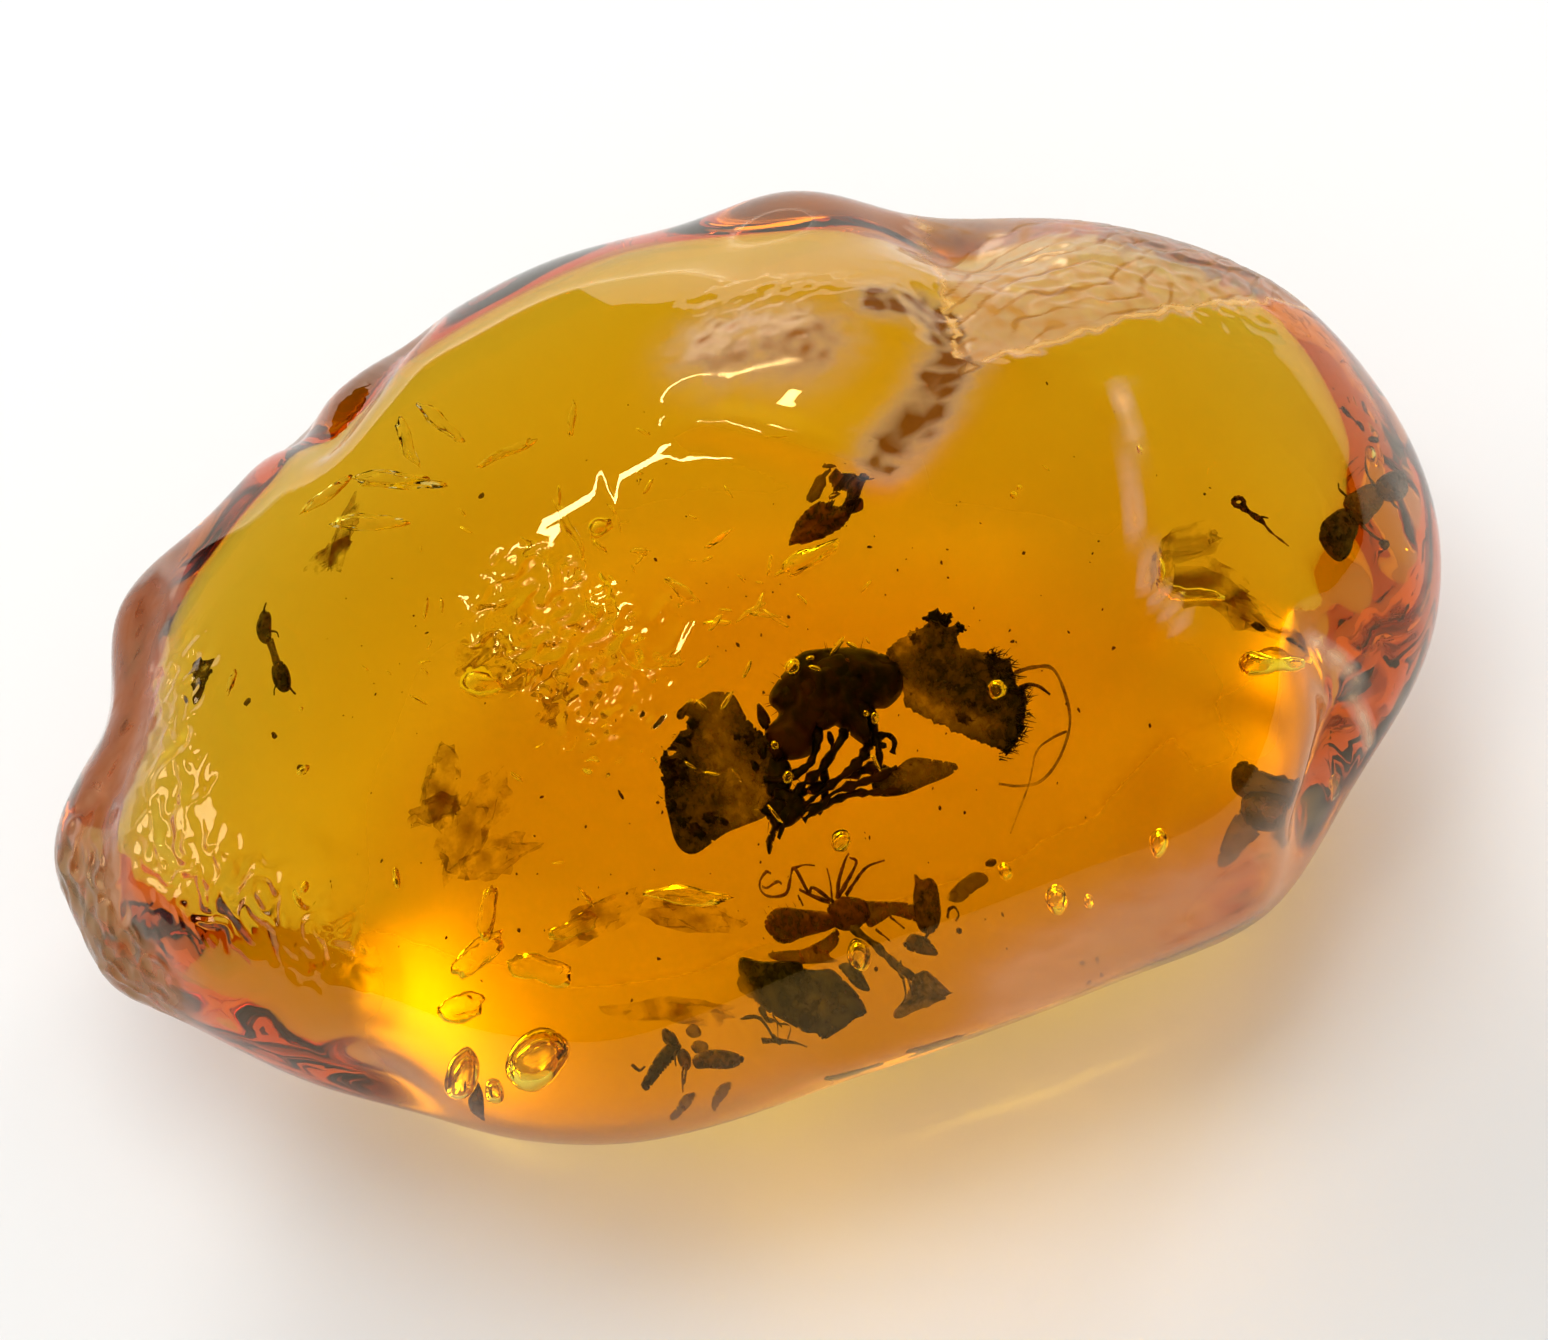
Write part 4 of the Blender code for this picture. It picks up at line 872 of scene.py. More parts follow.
for number in range(6):
    start = 2.05 + 0.16 * number
    limb(bud, (
        (start, -9.42, 0.3), (start + 0.02 + 0.05 * (number - 2), -9.9, 0.38),
        (start - 0.38 + 0.17 * number, -10.2, 0.26),
    ), 0.07, 0.04, 5, 0.5)
paint(bud, "shade", 0.25, [
    (((1.5, -10.45), (2.6, -10.35)), 0.14, 1.0), (((2.9, -9.9), (3.2, -10.3)), 0.25, 0.55),
    (((1.0, -7.9), (2.1, -9.1)), 0.3, 0.35),
], 0.3, 0.2)
bud_skin = old_crust("dried_bud", (0.03, 0.019, 0.018), (0.22, 0.135, 0.085), 0.18, 0.6, depth=0.00005)
inclusion(bud, "bud", bud_skin, ("stalked_bud",))

# Seed husk
# A narrow husk, split and empty, with its three-cornered scale; further right lie a fainter flake
# and a curled fibre. Thin brown plant skin.
husk = bmesh.new()
for outline, height, w, seed in (
    (((2.97, -8.28), (3.0, -7.9), (3.12, -7.56), (3.25, -7.36), (3.35, -7.12), (3.48, -7.3),
     (3.76, -7.32), (3.88, -7.5), (3.84, -7.8), (3.72, -8.15), (3.49, -8.38),
     (3.23, -8.44)), 0.22, 0.0, 3.0),
    (((2.36, -8.51), (2.55, -8.4), (2.75, -8.34), (3.06, -8.46), (3.22, -8.62), (3.3, -8.9),
     (2.95, -8.84), (2.73, -8.76), (2.5, -8.66)), 0.12, 0.0, 4.0),
    (((4.05, -7.82), (4.25, -7.66), (4.6, -7.52), (5.0, -7.42), (5.3, -7.5), (5.36, -7.68), (4.9, -7.8),
     (4.4, -7.95)),
     0.1, -0.1, 5.0),
    (((5.38, -7.36), (5.6, -7.26), (5.78, -7.34), (5.6, -7.44)), 0.06, 0.0, 6.0),
    (((4.0, -8.52), (4.12, -8.46), (4.22, -8.54), (4.1, -8.6)), 0.05, 0.0, 7.0),
):
    shell(husk, outline, 0.045, height, w=w, reach=0.25, creased=0.6, crease_size=0.2, seed=seed)
limb(husk, ((3.89, -8.22, 0.0), (4.02, -8.08, 0.05), (4.2, -8.1, 0.1), (4.24, -8.24, 0.05),
    (4.1, -8.32, 0.0)), 0.07, 0.04)
limb(husk, ((3.3, -8.32, 0.1), (3.2, -8.46, 0.1), (3.05, -8.55, 0.1)), 0.08, 0.06)
paint(husk, "shade", 0.3, [(((3.3, -7.4), (3.6, -7.4)), 0.1, 1.0), (((4.3, -7.8), (5.2, -7.6)), 0.4,
    0.6)], 0.3, 0.2)
paint(husk, "cover", 1.0, [(((4.2, -7.8), (5.3, -7.6)), 0.3, 0.6), (((3.7, -7.6), (3.7, -8.1)), 0.12,
    0.8)], 0.12, 0.2)
husk_skin = old_crust("dry_husk", (0.04, 0.02, 0.012), (0.17, 0.075, 0.032), 0.2, 0.55, True)
inclusion(husk, "husk", husk_skin, ("seed_husk",))

# Bark flake
# A charred flake of bark, 3.8 mm long, the darkest thing in the nugget. It is flat and brittle, with
# a dull greenish sheen; its left end has rotted to a thin tan skin, and torn fibres hang below.
bark = bmesh.new()
shell(bark, (
    (-2.95, -8.3), (-2.83, -8.03), (-2.65, -7.93), (-2.2, -8.1), (-1.63, -8.2), (-1.0, -8.3),
    (-0.84, -8.48), (-0.45, -8.56), (0.0, -8.62), (0.33, -8.96), (0.58, -9.33), (0.66, -9.7),
    (0.6, -9.94), (0.25, -9.97), (-0.1, -10.15), (-0.5, -10.27), (-0.88, -10.34), (-1.05, -10.18),
    (-1.15, -10.0), (-1.5, -9.85), (-1.85, -9.58), (-2.2, -9.35), (-2.55, -9.12), (-2.75, -8.92),
    (-3.0, -8.7), (-3.12, -8.52),
), 0.055, 0.2, w=-0.05, reach=0.45, creased=0.6, crease_size=0.55, seed=11.0, slope=(0.02, 0.05))
shell(bark, (
    (0.24, -8.66), (0.48, -8.62), (0.75, -8.72), (0.88, -8.92), (0.94, -9.12), (0.96, -9.36),
    (0.72, -9.3), (0.5, -9.12), (0.34, -8.84),
), 0.04, 0.08, w=0.15, reach=0.2, creased=0.4, crease_size=0.2, seed=12.0)
for route, thick in (
    (((-3.34, -9.28, 0.1), (-2.92, -9.29, 0.1), (-2.72, -9.4, 0.1), (-2.6, -9.69, 0.1),
     (-2.56, -9.9, 0.1)), 0.09),
    (((-2.62, -9.18, 0.1), (-2.55, -9.46, 0.2), (-2.31, -9.54, 0.2), (-2.2, -9.64, 0.1)), 0.14),
    (((-2.31, -9.54, 0.1), (-1.98, -9.68, 0.2), (-1.95, -9.8, 0.2), (-2.12, -9.94, 0.1)), 0.07),
    (((-2.92, -9.82, 0.1), (-2.36, -9.94, 0.1), (-1.9, -10.12, 0.1), (-1.5, -10.34, 0.0)), 0.09),
    (((-2.55, -9.82, 0.1), (-2.4, -10.05, 0.2)), 0.12),
    (((-2.35, -9.35, 0.1), (-2.3, -9.6, 0.2), (-2.42, -9.85, 0.1)), 0.06),
):
    limb(bark, route, thick, thick * 0.5, 6, 0.6)
# The broad lighter stroke across the middle is a painted sheen; the other strokes lighten the rotted left
# end, the fibres and the small flake beside it
paint(bark, "shade", 0.1, [
    (((-0.9, -9.4), (0.0, -9.9)), 0.55, 0.45), (((-2.9, -8.3), (-2.95, -8.7), (-2.7, -9.2)), 0.25, 1.0),
    (((-2.4, -9.6), (-1.9, -10.0)), 0.3, 0.9), (((-2.9, -9.8), (-1.5, -10.3)), 0.12, 0.9),
    (((-3.3, -9.3), (-2.6, -9.8)), 0.12, 0.9),
    (((0.4, -8.75), (0.85, -9.35)), 0.18, 0.65),
], 0.14, 0.5)
paint(bark, "cover", 1.0, [
    (((-2.95, -8.3), (-3.0, -8.7), (-2.9, -9.1)), 0.2, 0.45), (((-2.4, -9.6), (-1.9, -10.2)), 0.25, 0.75),
    (((-2.9, -9.8), (-1.5, -10.3)), 0.1, 0.75),
], 0.12, 0.25)
bark_skin = old_crust("charred_bark", (0.007, 0.007, 0.004), (0.08, 0.058, 0.03), 0.5, 0.5, True, 0.00004)
inclusion(bark, "bark", bark_skin, ("bark_flake",))

# Small ant
# A winged ant, 3 mm across, low at the front: a narrow waist, a round brown head, and two wing pairs
# folded into dark blades. Two shed wings lie below it.
ant = bmesh.new()
for outline, height, w, seed in (
    (((-6.36, -10.1), (-6.24, -9.98), (-5.95, -9.74), (-5.62, -9.52), (-5.32, -9.42), (-5.08, -9.52),
     (-5.3, -9.72), (-5.65, -9.92), (-5.98, -10.08), (-6.26, -10.22)), 0.1, 0.1, 1.0),
    (((-4.94, -9.86), (-4.7, -9.78), (-4.4, -9.76), (-3.95, -9.86), (-3.58, -10.06), (-3.72, -10.18),
     (-4.1, -10.22), (-4.6, -10.12), (-4.92, -10.06)), 0.09, 0.1, 2.0),
    (((-5.5, -9.3), (-5.42, -9.08), (-5.26, -9.1), (-5.14, -9.26), (-5.14, -9.48), (-5.3, -9.52),
     (-5.42, -9.42)),
     0.16, 0.0, 3.0),
    (((-5.26, -9.62), (-5.06, -9.56), (-4.96, -9.72), (-5.02, -9.92), (-5.18, -10.0), (-5.3, -9.84)),
     0.14, 0.0, 4.0),
    (((-4.86, -9.16), (-4.62, -9.06), (-4.48, -9.18), (-4.52, -9.34), (-4.78, -9.34)), 0.08, -0.1, 5.0),
    (((-4.86, -9.5), (-4.66, -9.42), (-4.42, -9.52), (-4.48, -9.66), (-4.8, -9.66)), 0.07, -0.1, 6.0),
    (((-6.0, -10.62), (-5.72, -10.48), (-5.42, -10.34), (-5.1, -10.36), (-5.28, -10.48), (-5.6, -10.6),
     (-5.85, -10.68)),
     0.05, -0.1, 7.0),
    (((-4.86, -10.62), (-4.7, -10.44), (-4.4, -10.32), (-4.1, -10.34), (-4.3, -10.48), (-4.62, -10.62),
     (-4.8, -10.74)),
     0.05, -0.1, 8.0),
):
    shell(ant, outline, 0.04, height, w=w, reach=0.16, creased=0.6, crease_size=0.15, seed=seed)
for route in (
    ((-5.2, -9.92, 0.1), (-5.3, -10.12, 0.15), (-5.44, -10.42, 0.1)),
    ((-5.12, -9.92, 0.1), (-5.22, -10.1, 0.1), (-5.34, -10.28, 0.1)),
    ((-5.2, -9.6, 0.1), (-5.32, -9.72, 0.2), (-5.4, -9.96, 0.2)),
    ((-6.4, -9.62, 0.0), (-6.28, -9.76, 0.0), (-6.12, -9.72, 0.0)),
):
    limb(ant, route, 0.07, 0.045, 6, 0.3)
paint(ant, "shade", 0.25, [
    (((-6.2, -10.0), (-5.3, -9.6)), 0.18, 0.0), (((-5.2, -9.95), (-5.4, -10.4)), 0.12, 1.0),
    (((-5.9, -10.6), (-4.2, -10.5)), 0.2, 0.7),
    (((-4.7, -9.2), (-4.6, -9.6)), 0.2, 0.8),
], 0.25, 0.15)
paint(ant, "cover", 1.0, [
    (((-4.7, -9.2), (-4.6, -9.6)), 0.2, 0.55), (((-5.9, -10.6), (-5.2, -10.4)), 0.2, 0.65),
    (((-4.8, -10.6), (-4.2, -10.4)), 0.2, 0.6),
], 0.12, 0.15)
ant_crust = old_crust("ant_crust", (0.016, 0.009, 0.007), (0.15, 0.058, 0.026), 0.15, 0.45, True)
inclusion(ant, "ant", ant_crust, ("small_ant",))

# Beetle
# A beetle on its side at the right end, 4 mm long, drawn out so that wing cases, waist and head end
# lie in a row. Its legs stick out short and stiff.
beetle = bmesh.new()
for outline, height, w, seed in (
    (((17.0, -1.9), (17.1, -2.3), (17.42, -2.52), (17.85, -2.42), (18.2, -2.15), (18.62, -1.72),
     (18.6, -1.35), (18.2, -1.2), (17.75, -1.32), (17.3, -1.5)), 0.48, 0.0, 1.0),
    (((18.45, -1.62), (18.3, -1.2), (18.45, -0.92), (18.9, -0.78), (19.4, -0.62), (19.85, -0.66),
     (19.95, -1.05), (19.7, -1.32), (19.2, -1.6), (18.8, -1.76)), 0.4, 0.05, 2.0),
    (((19.72, -0.92), (19.86, -0.56), (20.3, -0.34), (20.8, -0.24), (21.18, -0.26), (21.3, -0.46),
     (21.12, -0.88), (20.7, -1.14), (20.2, -1.2), (19.86, -1.12)), 0.38, 0.0, 3.0),
    (((20.2, 0.8), (20.45, 0.95), (20.72, 0.86), (20.58, 0.7)), 0.06, 0.0, 4.0),
    (((19.1, -2.28), (19.35, -2.2), (19.55, -2.34), (19.3, -2.48)), 0.08, 0.0, 5.0),
):
    shell(beetle, outline, 0.055, height, w=w, reach=max(height, 0.12), creased=0.35, crease_size=0.3,
        seed=seed)
lobe(beetle, (17.72, -1.86, 0.42), (0.26, 0.22, 0.16), 20, 0.2, 2)
lobe(beetle, (20.85, -0.48, 0.26), (0.26, 0.16, 0.16), 10, 0.3, 2)
for route in (
    ((21.05, -0.4, 0.1), (21.25, -0.28, 0.15), (21.38, -0.22, 0.1)),
    ((19.8, -0.7, 0.2), (19.72, -0.35, 0.25), (19.78, 0.0, 0.2), (19.92, 0.25, 0.2)),
    ((18.7, -1.65, 0.2), (18.95, -1.98, 0.2), (19.2, -2.2, 0.1), (19.55, -2.3, 0.1)),
    ((20.2, -1.1, 0.2), (20.32, -1.35, 0.2), (20.5, -1.48, 0.1)),
    ((18.6, -0.92, 0.2), (18.42, -0.68, 0.2), (18.44, -0.48, 0.1)),
):
    limb(beetle, route, 0.12, 0.06, 6, 0.4)
paint(beetle, "shade", 0.35, [
    (((17.7, -1.9),), 0.22, 0.0), (((19.0, -1.2), (19.5, -1.0)), 0.4, 1.0),
    (((20.8, -0.5), (21.2, -0.4)), 0.28, 0.0),
], 0.25, 0.25)
paint(beetle, "cover", 0.92, [(((19.0, -1.1), (19.6, -0.9)), 0.35, 0.72), (((20.3, -0.9),), 0.3, 0.78)],
    0.15, 0.3)
beetle_crust = old_crust("beetle_crust", (0.022, 0.013, 0.012), (0.16, 0.085, 0.05), 0.22, 0.5, True)
inclusion(beetle, "beetle_body", beetle_crust, ("beetle",))

# Wood splinter
# A splinter of dark wood with a small side branch and a knot hole at its head.
splinter = bmesh.new()
limb(splinter, ((15.05, -0.72, 0.0), (15.25, -0.98, 0.0), (15.45, -1.2, 0.0), (15.6, -1.55, 0.0),
    (15.95, -1.98, 0.0)), 0.24, 0.06, 8, 0.5)
for number in range(10):
    turned = math.tau * number / 10
    lobe(splinter, (15.0 + 0.15 * math.cos(turned), -0.58 + 0.12 * math.sin(turned), 0.05),
        (0.08, 0.08, 0.07), 0, 0.3, 2)
limb(splinter, ((15.35, -1.12, 0.0), (15.5, -1.1, 0.05), (15.68, -1.16, 0.05)), 0.1, 0.05)
paint(splinter, "shade", 0.3, [(((15.6, -1.6), (15.95, -2.0)), 0.2, 0.8)], 0.25, 0.2)
paint(splinter, "cover", 0.95, [(((15.7, -1.7), (15.95, -2.0)), 0.15, 0.7)], 0.1)
wood_skin = old_crust("rotten_wood", (0.028, 0.012, 0.007), (0.19, 0.062, 0.02), 0.2, 0.6, True)
inclusion(splinter, "splinter", wood_skin, ("wood_splinter",))

# Fungus gnat
# A gnat low in the right shoulder, blurred by the depth of resin before it: three lumps of a body in
# hazy grey-brown, one wing hanging down and one leg trailing.
low_gnat = bmesh.new()
for outline, height, w, seed in (
    (((12.6, -7.0), (12.9, -6.9), (13.1, -7.15), (13.28, -7.38), (13.16, -7.7), (12.86, -7.8),
     (12.62, -7.66), (12.46, -7.4)), 0.3, 0.0, 1.0),
    (((12.62, -7.62), (13.0, -7.6), (13.28, -7.8), (13.3, -8.2), (13.05, -8.5), (12.7, -8.42),
     (12.5, -8.05)),
     0.3, 0.0, 2.0),
    (((13.0, -8.32), (13.35, -8.25), (13.62, -8.6), (13.66, -9.0), (13.42, -9.26), (13.15, -9.0),
     (12.98, -8.65)),
     0.22, 0.0, 3.0),
    (((12.75, -7.8), (12.8, -8.2), (12.5, -8.68), (12.12, -9.0), (11.8, -9.02), (11.78, -8.72),
     (11.98, -8.36), (12.35, -7.98)), 0.06, 0.0, 4.0),
):
    shell(low_gnat, outline, 0.06, height, w=w, reach=max(height, 0.15), creased=0.5, crease_size=0.25,
        seed=seed)
for route in (
    ((13.2, -8.8, 0.0), (13.12, -9.15, 0.05), (12.85, -9.55, 0.05), (12.6, -9.8, 0.0)),
    ((13.3, -8.9, 0.0), (13.6, -9.3, 0.1), (13.9, -9.45, 0.1), (14.15, -9.72, 0.0)),
    ((13.2, -7.4, 0.1), (13.5, -7.25, 0.15), (13.75, -7.45, 0.1)),
    ((12.55, -9.18, 0.0), (12.8, -9.35, 0.0), (13.1, -9.4, 0.0)),
):
    limb(low_gnat, route, 0.09, 0.05, 6, 0.4)
paint(low_gnat, "shade", 0.4, [(((12.2, -8.6), (12.6, -8.1)), 0.3, 0.8), (((13.1, -9.2), (14.1, -9.7)),
    0.3, 0.9)], 0.3, 0.25)
paint(low_gnat, "cover", 0.78, [
    (((11.9, -8.9), (12.5, -8.2)), 0.3, 0.6), (((12.7, -9.8), (14.1, -9.7)), 0.4, 0.45),
], 0.15, 0.3)
hazy_crust = old_crust("hazy_crust", (0.03, 0.018, 0.016), (0.17, 0.085, 0.045), 0.25, 0.6, True)
inclusion(low_gnat, "low_gnat", hazy_crust, ("fungus_gnat",))

# Midge
# A midge near the left end: a clump of head and thorax, a thin stretched waist and a darker abdomen
# with a bent tip. Olive-brown chitin.
midge = bmesh.new()
for outline, height, w, seed in (
    (((-13.42, 4.8), (-13.2, 4.95), (-12.98, 4.7), (-13.02, 4.3), (-13.1, 3.95), (-13.3, 3.82),
     (-13.52, 4.05), (-13.58, 4.45)), 0.24, 0.0, 1.0),
    (((-13.3, 3.95), (-13.05, 3.95), (-12.98, 3.5), (-12.92, 3.05), (-13.16, 3.0), (-13.22, 3.5)), 0.14,
     0.0, 2.0),
    (((-13.2, 3.1), (-12.9, 3.12), (-12.7, 2.8), (-12.66, 2.4), (-12.78, 2.12), (-13.05, 2.15),
     (-13.26, 2.45), (-13.3, 2.8)), 0.26, 0.0, 3.0),
):
    shell(midge, outline, 0.045, height, w=w, reach=max(height, 0.12), creased=0.4, crease_size=0.2,
        seed=seed)
for route in (
    ((-13.22, 4.8, 0.0), (-13.18, 5.0, 0.05), (-13.08, 5.14, 0.0)),
    ((-12.8, 2.3, 0.0), (-12.72, 2.1, 0.05), (-12.6, 1.92, 0.0)),
    ((-13.0, 2.6, 0.1), (-13.3, 2.36, 0.15), (-13.36, 2.16, 0.1)),
    ((-13.15, 4.2, 0.1), (-12.9, 4.05, 0.15), (-12.84, 3.86, 0.1)),
):
    limb(midge, route, 0.08, 0.045, 6, 0.3)
paint(midge, "shade", 0.4, [(((-12.95, 2.5),), 0.3, 0.05), (((-13.1, 3.9), (-13.1, 3.2)), 0.2, 0.9)],
    0.25, 0.2)
paint(midge, "cover", 0.95, [(((-13.1, 3.9), (-13.05, 3.2)), 0.2, 0.75)], 0.1, 0.2)
midge_crust = old_crust("midge_crust", (0.022, 0.015, 0.006), (0.2, 0.115, 0.03), 0.2, 0.5, True)
inclusion(midge, "midge_body", midge_crust, ("midge",))

# Leaf scrap
# A curled scrap of leaf beside the left end, dark olive at its rims and clear in the middle.
scrap = bmesh.new()
shell(scrap, (
    (-16.2, 4.4), (-15.95, 4.5), (-15.7, 4.45), (-15.35, 4.38), (-15.15, 4.2), (-15.28, 3.95),
    (-15.4, 3.75), (-15.6, 3.5), (-15.85, 3.28), (-16.15, 3.2), (-16.4, 3.45), (-16.32, 3.8),
    (-16.12, 4.05),
), 0.05, 0.09, reach=0.2, creased=0.7, crease_size=0.25, seed=3.0, slope=(0.1, 0.1))
limb(scrap, ((-15.9, 4.45, 0.1), (-15.62, 4.24, 0.15), (-15.55, 3.95, 0.15), (-15.68, 3.62, 0.1),
    (-15.95, 3.34, 0.1)), 0.14, 0.1, 7, 0.5)
paint(scrap, "shade", 0.35, [(((-15.9, 3.9),), 0.16, 1.0)], 0.3, 0.2)
paint(scrap, "cover", 0.95, [(((-15.95, 3.85),), 0.18, 0.3)], 0.15, 0.2)
leaf_skin = old_crust("curled_leaf", (0.03, 0.02, 0.005), (0.28, 0.17, 0.03), 0.2, 0.6, True)
inclusion(scrap, "curled_leaf", leaf_skin, ("leaf_scrap",))

# Wood fragment
# A red-brown lump of rotten wood above the middle, its upper end broken into crumbs.
fragment = bmesh.new()
for outline, height, w, seed in (
    (((2.65, 1.68), (2.82, 2.02), (3.08, 2.35), (3.4, 2.56), (3.71, 2.68), (4.0, 2.58), (4.21, 2.41),
     (4.5, 2.22), (4.66, 2.02), (4.45, 1.84), (4.19, 1.7), (3.9, 1.66), (3.58, 1.59),
     (3.1, 1.62)), 0.32, 0.0, 1.0),
    (((4.3, 2.2), (4.42, 2.4), (4.62, 2.42), (4.8, 2.26), (4.72, 2.02), (4.48, 2.0)), 0.18, 0.0, 2.0),
    (((3.5, 2.8), (3.6, 3.0), (3.8, 2.96), (3.92, 2.72), (3.74, 2.62)), 0.1, 0.1, 3.0),
):
    shell(fragment, outline, 0.05, height, w=w, reach=0.4, ragged=0.03, creased=0.6, crease_size=0.25,
        seed=seed)
limb(fragment, ((4.6, 2.05, 0.0), (4.78, 1.98, 0.05), (4.92, 1.96, 0.0)), 0.12, 0.06, 6, 0.5)
paint(fragment, "shade", 0.25, [(((2.8, 1.8), (3.3, 1.8)), 0.3, 0.8), (((3.7, 2.85),), 0.2, 0.6)], 0.3,
    0.2)
paint(fragment, "cover", 0.95, [(((2.7, 1.7),), 0.2, 0.7), (((3.7, 2.85),), 0.2, 0.65)], 0.12, 0.2)
inclusion(fragment, "fragment", wood_skin, ("wood_fragment",))

# Seed
# A small seed, low at the front left, in a brown coat with a pale scar.
seed_coat = bmesh.new()
lobe(seed_coat, (-10.2, -9.4, 0.0), (0.14, 0.42, 0.14), -10, 0.2, 3)
lobe(seed_coat, (-10.26, -9.78, 0.0), (0.07, 0.09, 0.07), 0, 0.2, 2)
paint(seed_coat, "shade", 0.3, [(((-10.25, -9.75),), 0.1, 1.0)], 0.25, 0.15)
paint(seed_coat, "cover", 0.9, (), 0.1, 0.2)
inclusion(seed_coat, "seed_coat", husk_skin, ("seed",))

# Rust stains
# Where splits once let water in, iron has stained the resin in thin rust-brown clouds.
stains = bmesh.new()
STAINS = (
    (-8.16, -2.9, 0.9, 0.35, 40), (-8.68, -1.81, 0.7, 0.3, 70), (-7.8, -3.9, 0.6, 0.25, 10),
    (-5.94, 0.3, 0.9, 0.25, -20), (-6.7, 1.39, 0.6, 0.25, 30), (-9.84, 6.11, 0.7, 0.2, 60),
    (-10.44, 5.69, 0.5, 0.2, 10), (13.28, -2.13, 0.8, 0.3, -40), (13.24, -1.28, 0.5, 0.25, 20),
    (13.79, -3.01, 0.6, 0.25, -60), (-6.0, -6.11, 0.8, 0.22, 10), (-3.61, -6.57, 0.8, 0.2, -15),
    (-9.1, -2.4, 0.5, 0.2, 0), (-5.2, -0.6, 0.5, 0.18, 50), (11.8, -1.6, 0.4, 0.16, 30),
    (-4.9, -8.6, 0.9, 0.16, -12),
)
for number, (u, v, length, width, turn) in enumerate(STAINS):
    lobe(stains, (u, v, -2.0 + 0.1 * number), (1.5 * length, 1.6 * width, 0.05), turn, 0.8, 3)
paint(stains, "cover", 0.08, [(((u, v),), 0.3, 0.36) for u, v, length, width, turn in STAINS], 0.4, 0.4)
paint(stains, "shade", 0.5, (), 0.3, 0.4)
rust = old_crust("rust", (0.09, 0.022, 0.004), (0.32, 0.085, 0.01), 0.5, 0.9, True)
inclusion(stains, "rust_stains", rust, ())

# Dust
# Specks of bark dust and crumbs that the resin caught while it was still sticky.
dust = bmesh.new()
chance = random.Random(21)
SPECKS = (
    (-14.38, 2.31, 0.1), (-13.67, 0.99, 0.08), (-13.01, -0.24, 0.12), (-10.93, -4.09, 0.08),
    (-5.72, 5.66, 0.07), (14.31, -3.91, 0.1), (7.35, -10.7, 0.07), (7.81, -10.73, 0.06),
    (-0.3, -8.28, 0.07), (1.35, -9.0, 0.05),
)
for u, v, size in SPECKS:
    lobe(dust, (u, v, 0.3), (size * 1.4, size, size), chance.uniform(0, 180), 0.6, 2)
CRUMBS = 230
for number in range(CRUMBS):
    u = chance.gauss(0.0, 8.0)
    v = chance.gauss(-2.0, 4.5)
    if (u / 17) ** 2 + ((v + 1) / 10) ** 2 > 0.8:
        continue
    size = 0.018 + 0.035 * chance.random() ** 3
    lobe(dust, (u, v, chance.uniform(-2, 2)), (size * chance.uniform(1, 2), size, size),
        chance.uniform(0, 180), 0.6, 1)
paint(dust, "shade", 0.4, (), 0.5, 0.9)
paint(dust, "cover", 0.75, (), 0.3, 0.8)
inclusion(dust, "dust", wood_skin, ())

# Floor, light and camera
# White paper in a bright room. Broad lamps light the nugget without showing on it, and three narrow
# ones only gleam on its skin.
FLOOR_SIZE = 4.0
FLOOR_DROP = 0.1 * MM
bpy.ops.mesh.primitive_plane_add(size=FLOOR_SIZE, location=(0, 0, -FLOOR_DROP))
floor = bpy.context.object
floor.name = "floor"
paper = new_material("paper", {"Base Color": (0.84, 0.84, 0.83, 1.0), "Roughness": 0.9})[0]
floor.data.materials.append(paper)

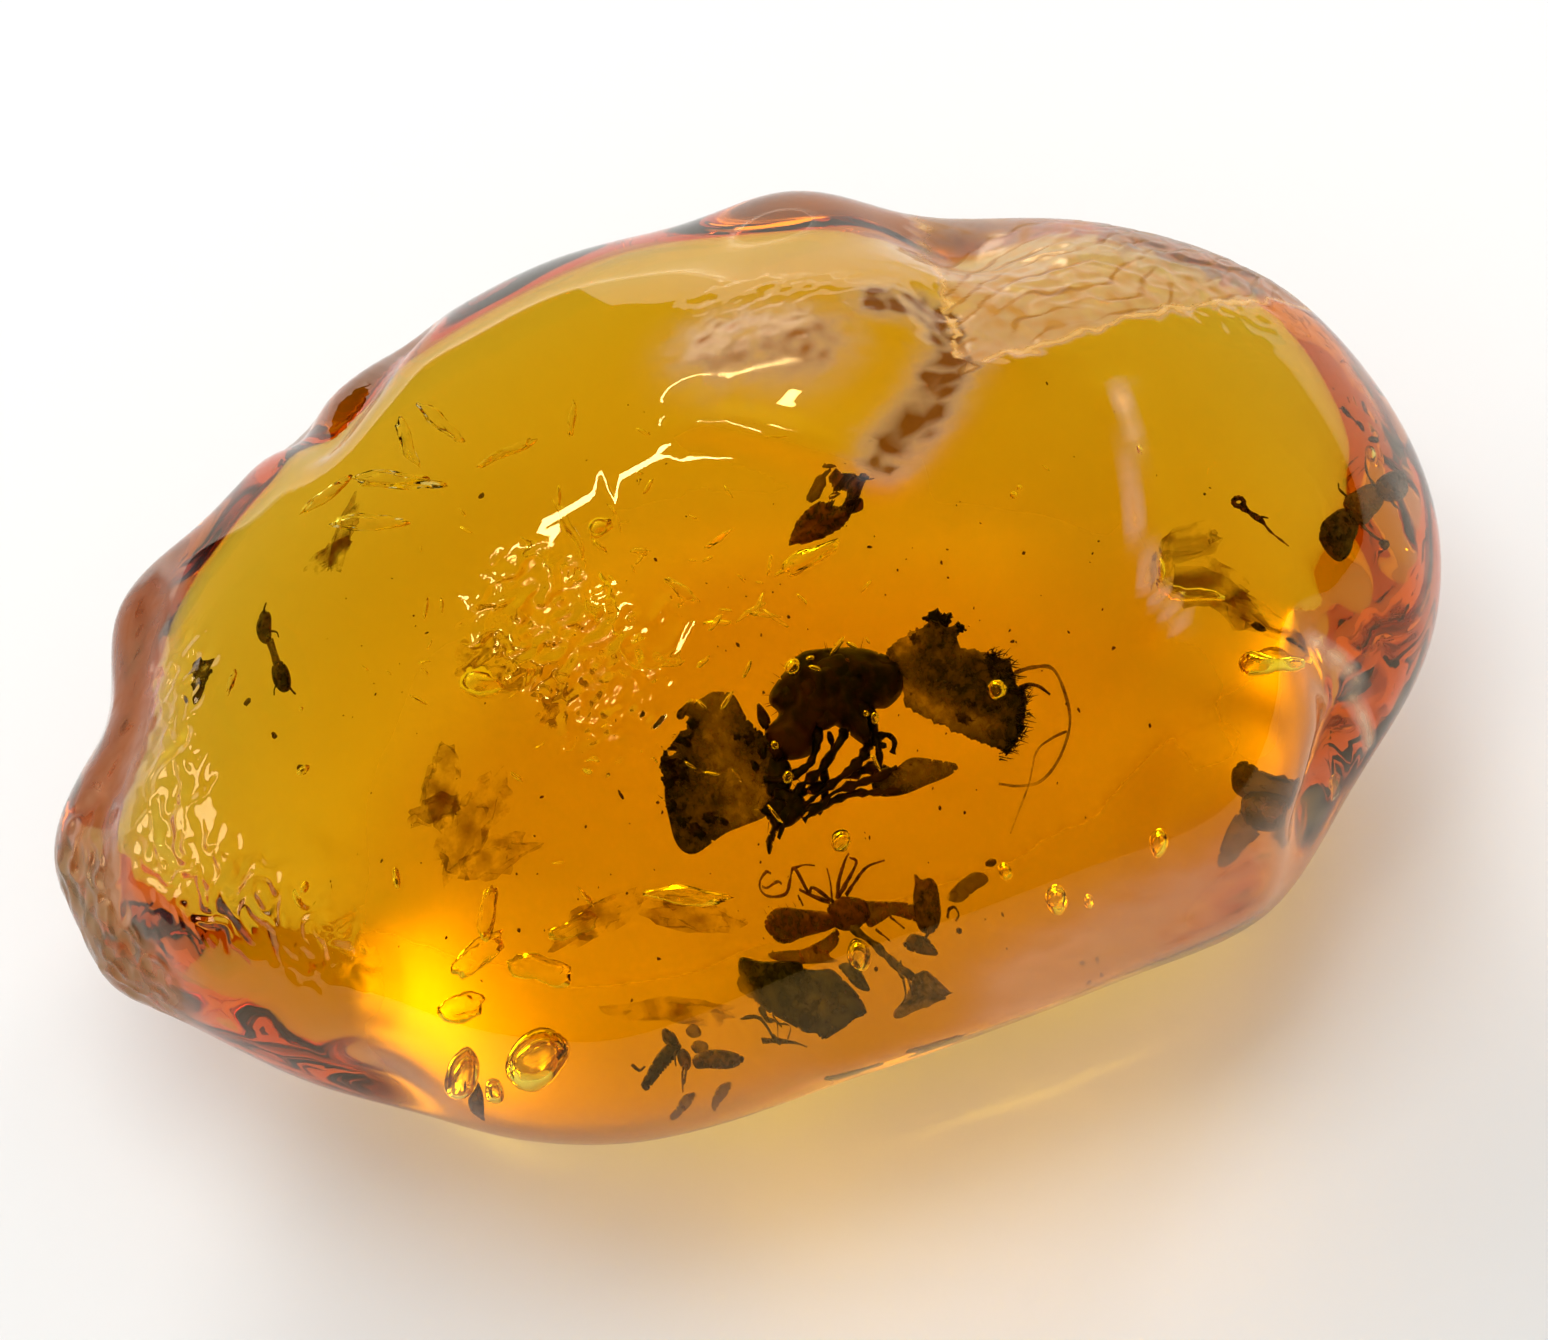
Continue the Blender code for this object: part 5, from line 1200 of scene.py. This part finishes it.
# Lamps: name, azimuth, elevation, distance, width, height, watts, whether it lights things and gleams
for name, azimuth, elevation, distance, width, height, watts, lights, gleams in (
    ("overhead", 112, 80, 0.9, 0.6, 0.5, 2.5, True, False),
    ("window", 44, 36, 1.0, 0.22, 0.22, 1.15, True, False),
    ("left_light", 150, 18, 1.0, 0.5, 0.3, 2.5, True, False),
    ("back_light", 95, 20, 1.0, 0.4, 0.3, 6.5, True, False),
    ("far_wall", 78, 4, 1.0, 0.6, 0.14, 0.3, True, True),
    ("spark", 132, 67, 0.9, 0.12, 0.05, 1.0, False, True),
    ("skylight", 108, 49, 0.9, 0.34, 0.02, 0.9, False, True),
    ("left_window", 158, 12, 1.0, 0.3, 0.14, 0.9, False, True),
):
    light = bpy.data.lights.new(name, "AREA")
    light.shape = "RECTANGLE"
    light.size = width
    light.size_y = height
    light.energy = watts
    lamp = bpy.data.objects.new(name, light)
    a = math.radians(azimuth)
    e = math.radians(elevation)
    lamp.location = Vector((math.cos(e) * math.cos(a), math.cos(e) * math.sin(a), math.sin(e))) * distance
    lamp.rotation_euler = (-lamp.location).to_track_quat("-Z", "Y").to_euler()
    lamp.visible_diffuse = lights
    lamp.visible_transmission = lights
    lamp.visible_glossy = gleams
    bpy.context.scene.collection.objects.link(lamp)

world = bpy.data.worlds.new("room")
world.use_nodes = True
world.node_tree.nodes["Background"].inputs["Color"].default_value = (1.0, 0.99, 0.97, 1.0)
world.node_tree.nodes["Background"].inputs["Strength"].default_value = 0.6
bpy.context.scene.world = world
world.cycles_visibility.glossy = False

VIEW_ELEVATION = math.radians(55.0)
VIEW_ROLL = math.radians(16.5)
VIEW_DISTANCE = 0.19
VIEW_TARGET = Vector((0, 0, 9.3 * MM))
AIM_RIGHT = 1.0 * MM
LENS = 137.3
SENSOR = 36.0
level_up = Vector((0, math.sin(VIEW_ELEVATION), math.cos(VIEW_ELEVATION)))
view_back = Vector((0, -math.cos(VIEW_ELEVATION), math.sin(VIEW_ELEVATION)))
view_right = math.cos(VIEW_ROLL) * Vector((1, 0, 0)) - math.sin(VIEW_ROLL) * level_up
view_up = math.sin(VIEW_ROLL) * Vector((1, 0, 0)) + math.cos(VIEW_ROLL) * level_up
camera_data = bpy.data.cameras.new("camera")
camera_data.lens = LENS
camera_data.sensor_width = SENSOR
camera_data.clip_start = 0.01
camera = bpy.data.objects.new("camera", camera_data)
turned = Matrix((view_right, view_up, view_back)).transposed().to_4x4()
place = VIEW_TARGET + view_back * VIEW_DISTANCE + view_right * AIM_RIGHT
camera.matrix_world = Matrix.Translation(place) @ turned
bpy.context.scene.collection.objects.link(camera)
bpy.context.scene.camera = camera

view = bpy.context.scene.view_settings
view.view_transform = "Standard"
cycles = bpy.context.scene.cycles
cycles.max_bounces = 13
cycles.transmission_bounces = 12
cycles.transparent_max_bounces = 24
cycles.blur_glossy = 0.3
cycles.use_denoising = True
cycles.use_adaptive_sampling = True
cycles.adaptive_threshold = 0.06
